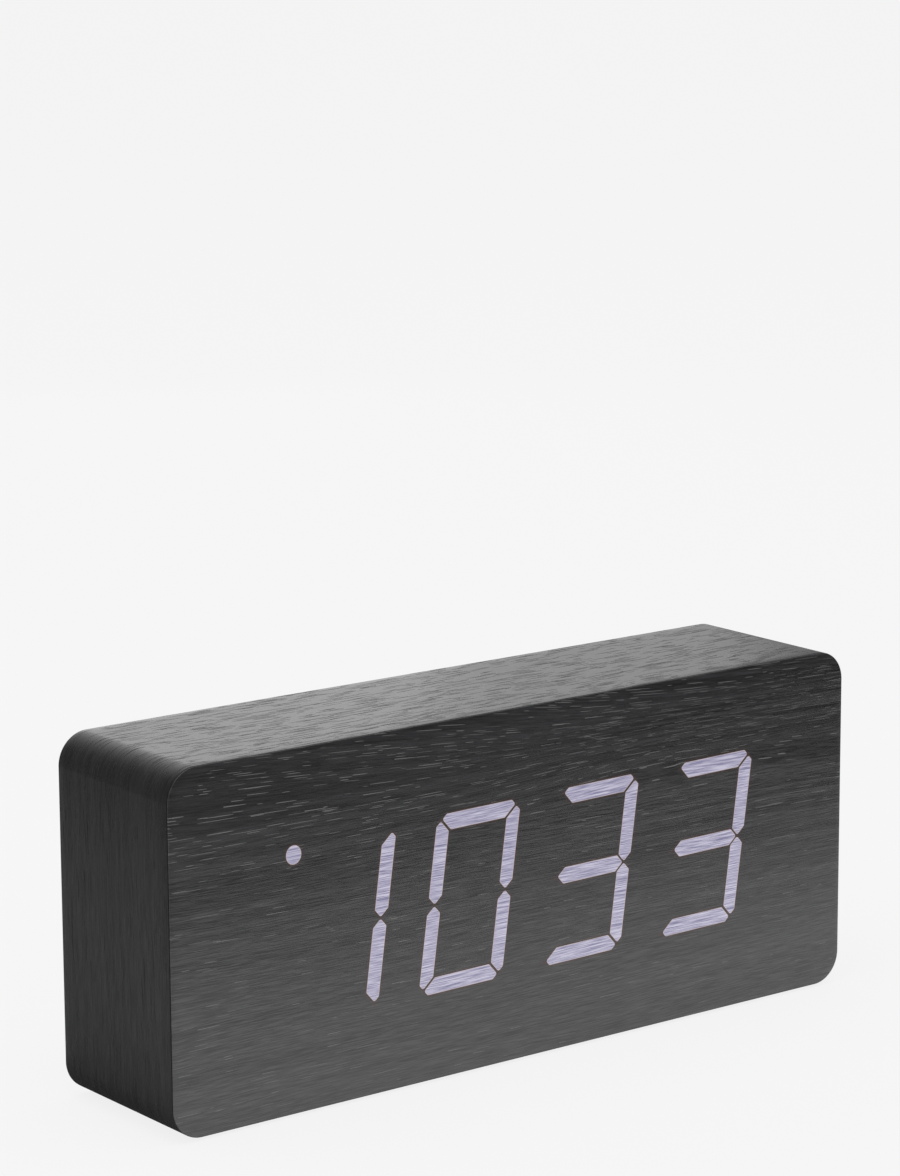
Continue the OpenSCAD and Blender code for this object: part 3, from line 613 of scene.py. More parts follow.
@dataclass(frozen=True)
class CellJacket(Finish):
    """Shrunk film sleeve printed in two plain colours over a nickel can, bare at both ends."""

    nub_mm: float
    tail_mm: float
    body: Hex = "#2c3440"
    band: Hex = "#b4703a"
    bare: Hex = "#c6c6c8"
    scuff_mm: float = 1.1111
    band_end: Pair = (0.33, 0.335)
    bare_from: Pair = (0.462, 0.465)
    gloss: Pair = (0.2, 0.42)

    def dress(self, add: Adder) -> Feeds:
        """Zones along x: t is 0 at the nub's end and 1 at the flat end.

        Args:
            add: adds a node to the material.

        Returns:
            What feeds the shader.
        """
        place = add("TexCoord", out="Object")
        x = add("SeparateXYZ", (place,), "X")
        t = add("MapRange", (x, self.nub_mm * MM, self.tail_mm * MM), clamp=False)
        scuff = add("TexNoise", {"Vector": place, "Scale": 1 / (self.scuff_mm * MM), "Detail": 3})
        sleeve = add("MapRange", (t, *self.band_end))
        film = add("Mix:RGBA", (sleeve, self.band, self.body))
        far = add("Math:SUBTRACT", (t, 0.5))
        far = add("Math:ABSOLUTE", (far,))
        bare = add("MapRange", (far, *self.bare_from))
        shade = add("Mix:RGBA", (bare, film, self.bare))
        gloss = add("MapRange", (scuff, 0, 1, *self.gloss))
        return {"Base Color": shade, "Metallic": bare, "Roughness": gloss}


@dataclass
class SevenBarRow:
    """Four slanted seven-bar digits and the alarm dot, as outlines in x and z. Millimetres."""

    digit_w: float = 25.7
    digit_h: float = 44.4
    pitch: float = 37.95
    slant_deg: float = 8.6
    lean_deg: float = 0.7
    upright: float = 3.95
    level: float = 4.1
    gap: float = 0.6
    tip_gap: float = 0.36
    nip: float = 1.2
    row_x: float = 1.25
    row_z: float = 45.1
    dot_at: Pair = (-70.0, 64.4)
    dot_size: Pair = (4.4, 4.7)
    corner_r: float = 0.55
    shown: tuple[Numeral, ...] = (Numeral.ONE, Numeral.ZERO, Numeral.THREE, Numeral.THREE)

    def bars(self) -> Array:
        """Work out the corners of one digit's seven bars before the slant.

        The top bar and the upper left one are mitred where they meet and nipped at their outer corners. The
        upper left one comes to a point at half height, and the middle bar has a point at both ends. The
        others are these three mirrored.

        Returns:
            Bars by corners by x and z, 7 by 6 by 2, round the digit's middle.
        """
        w, h, mitre = self.digit_w / 2, self.digit_h / 2, self.gap / math.sqrt(2)
        up, lev, nip, foot = self.upright, self.level, self.nip, self.tip_gap / 2
        left = [(-w + lev + mitre, h - lev), (-w + nip + mitre, h - nip), (-w + 2 * nip + mitre, h)]
        top = np.array(left + [(-x, z) for x, z in reversed(left)])
        side = np.array(
            [
                (-w + up, h - up - mitre), (-w + nip, h - nip - mitre), (-w, h - 2 * nip - mitre),
                (-w, foot + up / 2), (-w + up / 2, foot), (-w + up, foot + up / 2),
            ]
        )
        tip = w - up / 2 - mitre
        half = [(-tip, 0.0), (-tip + lev / 2, lev / 2), (tip - lev / 2, lev / 2)]
        middle = np.array(half + [(-x, -z) for x, z in half])
        flips = [(1, 1), (-1, 1), (-1, -1), (1, -1), (1, -1), (1, 1), (1, 1)]
        forms = [top, side, side, top, side, side, middle]
        return np.stack([f * s for f, s in zip(forms, np.array(flips), strict=True)])

    def outlines(self) -> tuple[Array, Array]:
        """Place the lit bars: x + tan(slant) z, one pitch from digit to digit, then the whole row leans.

        Returns:
            Bars by corners by x and z, anticlockwise, and the digit that each bar belongs to.
        """
        wanted = [(d, b.value) for d, numeral in enumerate(self.shown) for b in numeral.value]
        digit, bar = np.array(wanted).T
        slant, lean = math.radians(self.slant_deg), math.radians(self.lean_deg)
        x, z = np.moveaxis(self.bars()[bar], -1, 0)
        x = x + math.tan(slant) * z + (digit[:, None] - (len(self.shown) - 1) / 2) * self.pitch
        c, s = math.cos(lean), math.sin(lean)
        form = np.stack([c * x - s * z + self.row_x, s * x + c * z + self.row_z], -1)
        after = np.roll(form, -1, axis=1)
        turn = (form[..., 0] * after[..., 1] - form[..., 1] * after[..., 0]).sum(1)
        return np.where((turn < 0)[:, None, None], form[:, ::-1], form), digit

    def rings(self, corners: Array, inset: float, arc: int = 3, straight: int = 14) -> Array:
        """Follow each outline at a distance inside it, round at the corners.

        A corner's arc has its centre at the corner radius inside both edges,
        c = p + r (n1 + n2) / (1 + n1.n2), and runs from c - (r - inset) n1 to c - (r - inset) n2,
        where n1 and n2 are the edges' inward normals.

        Args:
            corners: bars by corners by x and z, anticlockwise.
            inset: distance inside the outline, below 0 for outside.
            arc: steps along a corner.
            straight: points along an edge between two corners.

        Returns:
            Bars by points by x and z.
        """
        edge = np.roll(corners, -1, axis=1) - corners
        n2 = np.stack([-edge[..., 1], edge[..., 0]], -1) / np.linalg.norm(edge, axis=-1, keepdims=True)
        n1 = np.roll(n2, 1, axis=1)
        share = (n1 * n2).sum(-1, keepdims=True)
        centre = corners + self.corner_r * (n1 + n2) / (1 + share)
        turn = np.arccos(np.clip(share, -1, 1))[..., None] * np.linspace(0, 1, arc + 1)[:, None]
        side = np.stack([-n1[..., 1], n1[..., 0]], -1)[:, :, None]
        radius = self.corner_r - inset
        bend = centre[:, :, None] - radius * (np.cos(turn) * n1[:, :, None] + np.sin(turn) * side)
        run = np.roll(bend[:, :, 0], -1, axis=1) - bend[:, :, -1]
        step = (np.arange(straight) + 1)[:, None] / (straight + 1)
        line = bend[:, :, -1:] + run[:, :, None] * step
        return np.concatenate([bend, line], axis=2).reshape(len(corners), -1, 2)

    def dot_ring(self, inset: float, steps: int = 64) -> Array:
        """Follow the alarm dot's rim anticlockwise, as an ellipse.

        Args:
            inset: distance inside the rim, below 0 for outside.
            steps: points along it.

        Returns:
            Points in x and z.
        """
        turn = np.arange(steps) * 2 * math.pi / steps
        half = np.array(self.dot_size) / 2 - inset
        return np.array(self.dot_at) + half * np.stack([np.cos(turn), np.sin(turn)], -1)


@dataclass
class Block:
    """Outline of the veneered block, seen from the front. Millimetres."""

    width: float
    low: float
    high: float
    corner_r: float = 8.0

    def path(self, inset: float, arc: int = 24, along: float = 4.0) -> tuple[Array, ...]:
        """Walk once round the outline from the middle of the underside, anticlockwise seen from the front.

        Args:
            inset: distance inside the outline.
            arc: steps round a corner.
            along: longest step on a straight run.

        Returns:
            Points in x and z, outward normals, and the length walked on the outline itself. The last point is
            the first one again.
        """
        r, mid_z = self.corner_r, (self.low + self.high) / 2
        run_x, run_z = self.width / 2 - r, (self.high - self.low) / 2 - r
        turn = np.linspace(-90, 0, arc + 1)
        angles, centres = [], []
        runs = (
            ((1, 0), (run_x, -run_z), run_x), ((0, 1), (run_x, run_z), 2 * run_z),
            ((-1, 0), (-run_x, run_z), 2 * run_x), ((0, -1), (-run_x, -run_z), 2 * run_z),
        )
        for i, (way, corner, length) in enumerate(runs):
            n = max(2, round(length / along))
            straight = np.array(corner) - np.array(way) * length * (1 - np.arange(n) / n)[:, None]
            angles += [np.full(n, -90.0 + 90 * i), turn + 90 * i]
            centres += [straight, np.tile(corner, (arc + 1, 1))]
        n = max(2, round(run_x / along))
        angles.append(np.full(n, 270.0))
        centres.append(np.stack([-run_x * (1 - (np.arange(n) + 1) / n), np.full(n, -run_z)], -1))
        a = np.radians(np.concatenate(angles))
        normal = np.stack([np.cos(a), np.sin(a)], -1)
        centre = np.concatenate(centres)
        outer = centre + r * normal
        walked = np.concatenate([[0], np.cumsum(np.linalg.norm(np.diff(outer, axis=0), axis=-1))])
        points = centre + (r - inset) * normal + np.array([0, mid_z])
        return points, normal, walked


@dataclass(frozen=True)
class FrontGrain:
    """How the wood's grain lies on the front. Millimetres, slopes and shares."""

    flame_z: float = 70.0
    flame_w: float = 7.0
    flame_lift: float = 0.075
    crown_z: Pair = (76.0, 87.0)
    crown_sink: float = 0.09
    bend_reach: float = 35.0
    bend_w: float = 32.0
    slopes: tuple[Triple, ...] = ((0.03, 70.0, 84.0), (0.02, 20.0, 45.0))
    wander: Triple = (0.2, 17.0, 9.0)
    skew: float = 0.05
    sparse: float = 0.13
    denser: float = 0.34
    denser_z: Pair = (56.0, 76.0)
    thinned: float = 0.25
    thinned_x: Pair = (30.0, 90.0)
    ring_rows: tuple[Triple, ...] = ((0.76, 51.0, 13.0), (0.8, 79.0, 7.0))
    left_rings: float = 0.3
    left_x: Pair = (-35.0, -75.0)
    right_x: Pair = (-5.0, 60.0)

    def lay(self, x: Array, z: Array) -> Array:
        """Lay the grain over the front.

        Lines of equal "across" run level below and sink a little to the right higher up. Right of the middle
        they rise below a flame's tip and sink above it:
        across = z - lift(z) reach (1 + tanh(x / w)) + slope(z) x, and a small wave.

        Args:
            x: places across the front.
            z: heights.

        Returns:
            Millimetres along and across the grain, and how dense the pores lie, one row per place.
        """
        lift = self.flame_lift * np.exp(-(((z - self.flame_z) / self.flame_w) ** 2))
        lift = lift - self.crown_sink * smoothstep(*self.crown_z, z)
        across = z - lift * self.bend_reach * (1 + np.tanh(x / self.bend_w))
        for slope, low, high in self.slopes:
            across = across + slope * x * smoothstep(low, high, z)
        size, long, tall = self.wander
        across = across + size * np.sin(x / long + z / tall)
        thin = 1 - self.thinned * smoothstep(*self.thinned_x, x)
        dense = self.sparse + self.denser * smoothstep(*self.denser_z, z) * thin
        return np.stack([x + self.skew * z, across, dense], -1)

    def rings(self, x: Array, z: Array) -> Array:
        """Say how strongly the dark growth lines show: most at the right, at half height and near the top.

        Args:
            x: places across the front.
            z: heights.

        Returns:
            Shares between 0 and 1, one per place.
        """
        rows = [share * np.exp(-(((z - at) / wide) ** 2)) for share, at, wide in self.ring_rows]
        ends = self.left_rings * smoothstep(*self.left_x, x) + smoothstep(*self.right_x, x)
        return ends * np.maximum(*rows)


@dataclass
class FrontSheet:
    """The front veneer sheet, and the lit bars and dot that show through it. Millimetres."""

    row: SevenBarRow
    wood: StainedVeneer
    light: LitVeneer
    grain: FrontGrain = FrontGrain()
    bevel: float = 0.22
    rear_bevel: float = 0.5
    bevel_steps: int = 4
    outline_step: float = 2.5
    mesh_step: float = 3.5
    mesh_inset: Pair = (2.0, 1.0)
    mesh_clear: float = 0.9
    rim_w: float = 0.25
    halo_w: float = 0.25
    near_w: float = 0.75
    near_slack: float = 0.05
    join: float = 1e-4
    # Share and width of a painted fringe of the lit bars' light: just outside each bar the sheet turns to its
    # edge colour
    painted_glow_fringe: float = 0.75
    painted_glow_fringe_w: float = 0.3
    pieces: list[Object] = field(default_factory=list)

    def clearance(self, places: Array, corners: Array) -> Array:
        """Measure how far places are outside the nearest lit bar or the dot.

        Args:
            places: points in x and z.
            corners: bars by corners by x and z.

        Returns:
            Distances to the nearest outline, below 0 inside.
        """
        edge = np.roll(corners, -1, axis=1) - corners
        away = places[:, None, None] - corners
        t = np.clip((away * edge).sum(-1) / (edge**2).sum(-1), 0, 1)
        gap = np.linalg.norm(away - t[..., None] * edge, axis=-1).min(-1)
        inside = (edge[..., 0] * away[..., 1] - edge[..., 1] * away[..., 0] > 0).all(-1)
        size = np.array(self.row.dot_size) / 2
        round_gap = (np.linalg.norm((places - self.row.dot_at) / size, axis=-1) - 1) * size.mean()
        return np.minimum(np.where(inside, -gap, gap).min(-1), round_gap)

    def slab(self, flat: Array, faces: Array, front: float, rear: float) -> tuple[Array, list[Array]]:
        """Give a flat mesh its thickness: a front, a mirrored rear, and walls along every open edge.

        Args:
            flat: points in x and z.
            faces: triangles, anticlockwise seen from the front.
            front: depth of the front.
            rear: depth of the rear.

        Returns:
            Points in x, y and z, front ones first, and the faces.
        """
        n = len(flat)
        points = np.concatenate([at_depth(flat, front), at_depth(flat, rear)])
        edges = np.concatenate([faces[:, [0, 1]], faces[:, [1, 2]], faces[:, [2, 0]]])
        key = np.sort(edges, axis=1)
        _, first, count = np.unique(key, axis=0, return_index=True, return_counts=True)
        rim = edges[first[count == 1]]
        walls = np.stack([rim[:, 0], rim[:, 0] + n, rim[:, 1] + n, rim[:, 1]], -1)
        return points, [faces, faces[:, ::-1] + n, walls]

    def net(self, block: Block, corners: Array, low: Array, high: Array) -> tuple[Array, ...]:
        """Cover the flat front with a constrained net of triangles.

        Rings run just inside and outside each lit outline, and a coarse grid fills the rest.

        Args:
            block: outline of the front.
            corners: the lit bars, bars by corners by x and z.
            low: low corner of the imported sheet's box.
            high: high corner of that box.

        Returns:
            Points in x and z, triangles, the region of each triangle (0 for the sheet, then each bar, last
            the dot), and the points along the outer edge in order.
        """
        row, rim_w, halo_w = self.row, self.rim_w, self.halo_w
        outer = block.path(self.bevel, along=self.outline_step)[0][:-1]
        loops = [outer, *row.rings(corners, 0), row.dot_ring(0)]
        guides = [*row.rings(corners, rim_w), *row.rings(corners, -halo_w)]
        guides += [row.dot_ring(rim_w), row.dot_ring(-halo_w)]
        first, last = self.mesh_inset
        axes = (np.arange(low[i] + first, high[i] - last, self.mesh_step) for i in (0, 2))
        loose = np.stack(np.meshgrid(*axes), -1).reshape(-1, 2)
        half = np.array([block.width, block.high - block.low]) / 2
        away = np.abs(loose - [0, (block.low + block.high) / 2]) - (half - block.corner_r)
        loose = loose[np.linalg.norm(np.maximum(away, 0), axis=-1) < block.corner_r - last]
        loose = loose[np.abs(self.clearance(loose, corners)) > self.mesh_clear]
        near = np.concatenate([*row.rings(corners, -self.near_w), row.dot_ring(-self.near_w)])
        near = near[self.clearance(near, corners) > self.near_w - self.near_slack]
        points = np.concatenate([*loops, *guides, loose, near])
        sizes = np.array([len(r) for r in (*loops, *guides)])
        starts = np.cumsum(sizes) - sizes
        rings = [s + np.arange(n) for s, n in zip(starts, sizes, strict=True)]
        edges = np.concatenate([np.stack([r, np.roll(r, -1)], -1) for r in rings[len(loops) :]])
        areas = [r.tolist() for r in rings[: len(loops)]]
        places = [Vector(p) for p in points.tolist()]
        flat, _, faces, origins, _, owners = delaunay_2d_cdt(places, edges.tolist(), areas, 0, self.join)
        sent = np.full(len(points), -1)
        counts = [len(v) for v in origins]
        sent[list(itertools.chain.from_iterable(origins))] = np.repeat(np.arange(len(flat)), counts)
        region = np.array([max(ids, default=-1) for ids in owners])
        return np.array(flat), np.array(faces), region, sent[rings[0]]

    def build(self) -> None:
        """Cut the front along shared outlines into the dark sheet and the lit bars, and make them solid."""
        low, high = np.array(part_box("front_veneer")) / MM
        block = Block(high[0] - low[0], low[2], high[2])
        corners, digit = self.row.outlines()
        flat, faces, region, ring = self.net(block, corners, low, high)
        gap = self.clearance(flat, corners)
        self.sheet(block, flat, faces[region == 0], ring, gap, (low[1], high[1]))
        owner = np.concatenate([[-1], digit, [len(self.row.shown)]])[region]
        for i, name in enumerate((*numbered("lit_digit", len(self.row.shown)), "lit_alarm_dot")):
            used, faces_i = np.unique(faces[(region > 0) & (owner == i)], return_inverse=True)
            solid, sides = self.slab(flat[used], faces_i.reshape(-1, 3), low[1], high[1])
            piece = put_mesh(name, solid, sides)
            put_values(piece, "grain", self.grain.lay(solid[:, 0], solid[:, 2]))
            put_values(piece, "inner", np.tile(np.clip(-gap[used] / self.rim_w, 0, 1), 2))
            self.light.wear(piece)
            self.pieces.append(piece)

    def sheet(
        self, block: Block, flat: Array, faces: Array, ring: Array, gap: Array, depths: Pair
    ) -> None:
        """Make the dark sheet, with a rounded rim: a quarter circle at the front, a flatter one at the rear.

        Args:
            block: outline of the front.
            flat: all points of the net in x and z.
            faces: the sheet's triangles.
            ring: net points along the outer edge, in order.
            gap: distance of each net point to the nearest lit outline.
            depths: depth of the front and of the rear.
        """
        used, faces = np.unique(faces, return_inverse=True)
        order = np.full(len(flat), -1)
        order[used] = np.arange(len(used))
        ring = order[ring]
        solid, (front, rear, walls) = self.slab(flat[used], faces.reshape(-1, 3), *depths)
        walls = walls[~(np.isin(walls[:, 0], ring) & np.isin(walls[:, 3], ring))]
        centre, normal, _ = block.path(self.bevel, along=self.outline_step)
        turn = np.linspace(0, math.pi / 2, self.bevel_steps + 1)[1:]
        back, r, rear_r = turn[::-1], self.bevel, self.bevel * self.rear_bevel
        out = np.concatenate([r * np.sin(turn), rear_r * np.sin(back)])
        depth = np.concatenate([depths[0] + r * (1 - np.cos(turn)), depths[1] - rear_r * (1 - np.cos(back))])
        edge = centre[None, :-1] + normal[None, :-1] * out[:, None, None]
        band = at_depth(edge, depth[:, None])
        rows = len(solid) + np.arange(len(band)).reshape(len(depth), -1)
        rows = np.concatenate([ring[None], rows, ring[None] + len(used)])
        points = np.concatenate([solid, band])
        piece = put_mesh("front_sheet", points, [front, rear, walls, strip_faces(rows, True)])
        # Painted fringe of the lit bars' light: the sheet's edge colour fades in just outside each bar
        halo = np.tile(np.exp(-np.maximum(gap[used], 0) / self.painted_glow_fringe_w), 2)
        put_values(piece, "edge", np.concatenate([self.painted_glow_fringe * halo, np.zeros(len(band))]))
        put_values(piece, "grain", self.grain.lay(points[:, 0], points[:, 2]))
        put_values(piece, "rings", self.grain.rings(points[:, 0], points[:, 2]))
        self.wood.wear(piece)
        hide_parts("front_veneer")
        self.pieces.append(piece)


@dataclass
class WrapSheet:
    """The veneer bent round the block, its ends butted under the middle of the underside. Millimetres."""

    wood: StainedVeneer
    thickness: float = 0.5
    edge_r: float = 0.3
    edge_steps: int = 5
    joint: float = 0.08
    rows: int = 18
    slow: Triple = (1.1, 41.0, 0.6)
    quick: Triple = (0.5, 17.0, 11.0)
    shift: float = 100.0
    sparse: float = 0.12
    denser: float = 0.58
    denser_fade: Pair = (60.0, 20.0)
    piece: Object | None = None

    def build(self) -> None:
        """Carry the sheet's cross-section along the outline.

        The section runs up the inside, round the front edge, along the outside and round the rear edge; a
        quarter circle rounds both outer edges. The two ends are capped and stand a hair apart.
        """
        low, high = np.array(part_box("wrap_veneer")) / MM
        block = Block(high[0] - low[0], low[2], high[2])
        place, normal, walked = block.path(0)
        place[[0, -1], 0] += np.array([1, -1]) * self.joint / 2
        turn = np.linspace(0, math.pi / 2, self.edge_steps + 1)
        sin, cos = np.sin(turn), np.cos(turn)
        r, inside = self.edge_r, [-self.thickness]
        run = np.linspace(low[1] + r, high[1] - r, self.rows)[1:-1]
        out = np.concatenate([inside, r * (sin - 1), np.zeros(len(run)), r * (cos - 1), inside])
        front, rear = low[1], high[1]
        depth = np.concatenate([[front], front + r * (1 - cos), run, rear - r * (1 - sin), [rear]])
        flat = place[:, None] + normal[:, None] * out[:, None]
        n, m = flat.shape[:2]
        numbers = np.arange(n * m).reshape(n, m)
        faces = [strip_faces(numbers, True), numbers[:1], numbers[-1:, ::-1]]
        self.piece = put_mesh("wrap_sheet", at_depth(flat, depth), faces)
        put_values(self.piece, "grain", self.grain(walked, depth, block).reshape(-1, 3))
        groove = smoothstep(r, r / 2, depth - low[1]) * np.ones((n, 1))
        put_values(self.piece, "edge", groove.ravel())
        self.wood.wear(self.piece)
        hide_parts("wrap_veneer")

    def grain(self, walked: Array, depth: Array, block: Block) -> Array:
        """Lay the grain along the outline, with a slow wander across it, and denser pores on the top.

        Args:
            walked: length walked round the outline at each step.
            depth: depth of each point of the section.
            block: outline of the block.

        Returns:
            Steps by section points by millimetres along and across, and how dense the pores lie.
        """
        s, y = np.meshgrid(walked, depth, indexing="ij")
        size, long, phase = self.slow
        across = y + size * np.sin(s / long + phase)
        size, long, wide = self.quick
        across = across + size * np.sin(s / long + y / wide) + self.shift
        start = block.width / 2 + (block.high - block.low)
        end, (before, about) = start + block.width, self.denser_fade
        on_top = smoothstep(start - before, start, s) * smoothstep(end + about, end - about, s)
        return np.stack([s, across, self.sparse + self.denser * on_top], -1)


@dataclass
class ButtonMark:
    """A raised sign on a button: a rounded plate of 3 or 4 corners with a chamfered rim. Millimetres."""

    name: str
    mark: Mark
    body: Body
    node: str
    reach: float = 1.7
    corner_r: float = 0.3
    corner_steps: int = 8
    sunk: float = 0.35
    stands: float = 0.02
    chamfer: float = 0.1

    def build(self, finish: Finish) -> Object:
        """Carry a chamfered edge round a rounded outline.

        The outline is the corner arcs c_i + r (cos a, sin a), the rings shrink it by the chamfer, and the
        last ring is closed by one flat face.

        Args:
            finish: what the mark is printed with.

        Returns:
            The new piece.
        """
        low, high = np.array(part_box(self.node)) / MM
        middle = (low + high)[[0, 2]] / 2
        corner = np.radians(np.array(self.mark.value))
        centre = (self.reach - self.corner_r) * np.stack([np.cos(corner), np.sin(corner)], -1)
        angle = corner[:, None] + np.linspace(-math.pi, math.pi, self.corner_steps + 1) / len(corner)
        way = np.stack([np.cos(angle), np.sin(angle)], -1)
        shrink = np.array([0.0, 0.0, self.chamfer])[:, None, None, None]
        depth = high[1] + np.array([-self.sunk, self.stands - self.chamfer, self.stands])
        flat = (centre[:, None] + (self.corner_r - shrink) * way).reshape(len(depth), -1, 2) + middle
        numbers = np.arange(flat[..., 0].size).reshape(flat.shape[:2])
        faces = [strip_faces(numbers[::-1], True), numbers[:1], numbers[-1:, ::-1]]
        piece = put_mesh(self.name, at_depth(flat, depth[:, None]), faces)
        finish.wear(piece)
        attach(piece, self.body.value)
        return piece


@dataclass
class Insides:
    """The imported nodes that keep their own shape, each with its finish."""

    nodes: dict[str, Object]
    keys: tuple[str, ...] = ("set", "up", "down")
    cells: int = 4

    def dress(self) -> None:
        """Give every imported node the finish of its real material."""
        plan: dict[Finish, tuple[str, ...]] = {
            FibreBoard("pressed_fibre_board_sawn", "#8d6f4b", "#6d5236", "#19191a", 19.0): (
                "case_shell", *numbered("corner_block", 4),
            ),
            MouldedPlastic("acrylic_smoke_moulded", "#2b2a2e", 0.25, 0.8, 0.004): ("front_plate",),
            MouldedPlastic("polyester_film_black", "#101010", 0.45, 0.5, 0.004): ("display_mask",),
            MouldedPlastic("polycarbonate_film_opal", "#e6e6ea", 0.4, 0.5, 0.004): ("diffuser",),
            MouldedPlastic("abs_white_moulded", "#e9e9e6", 0.42, 0.5, 0.01): ("display_reflector",),
            CircuitBoard("glass_fibre_board_green_lacquer"): ("main_board", "key_board"),
            MouldedPlastic("phosphor_gel_cast", "#efe6b4", 0.3, 0.3, 0.004): ("light_emitters",),
            MouldedPlastic("epoxy_black_moulded", "#17171a", 0.55, 0.2, 0.01): ("driver_chip", "buzzer"),
            PlatedMetal("spring_steel_nickel_plated", "#cfcfcc", 0.24): (
                *numbered("contact_strip", 5), "contact_springs", "inlet_pin", "clock_crystal",
            ),
            PlatedMetal("steel_zinc_plated_turned", "#b9bbbd", 0.32): ("board_screws", "key_board_screws"),
            PlatedMetal("steel_black_zinc_turned", "#4a4a4d", 0.38): ("rear_screws",),
            PlatedMetal("aluminium_can_drawn", "#b8b8bb", 0.36): ("microphone",),
            MouldedPlastic("abs_black_spark_texture", "#29292a", 0.46, 0.4, 0.03): ("rear_cover",),
            MouldedPlastic("abs_black_door_spark_texture", "#2c2c2d", 0.44, 0.4, 0.03): ("battery_door",),
            MouldedPlastic("abs_button_satin", "#363638", 0.36, 0.6, 0.008): tuple(
                f"{n}_button" for n in self.keys
            ),
            MouldedPlastic("nylon_switch_satin", "#2e2e30", 0.42, 0.6, 0.008): (
                "sound_switch_knob", "sound_switch_body", *(f"{n}_key_body" for n in self.keys),
            ),
            MouldedPlastic("nylon_tan_moulded", "#b7a06f", 0.45): tuple(
                f"{n}_key_plunger" for n in self.keys
            ),
            MouldedPlastic("nylon_black_gloss_moulded", "#141416", 0.3, 0.6, 0.006): ("power_inlet",),
            MouldedPlastic("pvc_ribbon_grey_extruded", "#86868a", 0.45, 0.6, 0.01): ("ribbon_cable",),
            MouldedPlastic("nylon_cream_moulded", "#dcd6c4", 0.4): ("main_header", "key_header"),
            MouldedPlastic("pvc_sleeve_extruded", "#5c1c1c", 0.4): ("battery_leads",),
            MouldedPlastic("foam_rubber_pad_cut", "#1f1f1f", 0.85, 0.5, 0.08): numbered("foot_pad", 4),
        }
        for i, name in enumerate(numbered("battery_cell", self.cells)):
            low, high = np.array(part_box(name)) / MM
            ends = (low[0], high[0]) if i % 2 else (high[0], low[0])
            plan[CellJacket(f"cell_sleeve_printed_{i + 1}", *ends)] = (name,)
        for finish, names in plan.items():
            finish.wear(*(self.nodes[n] for n in names))
            log.info("%s: %s", finish.name, ", ".join(names))


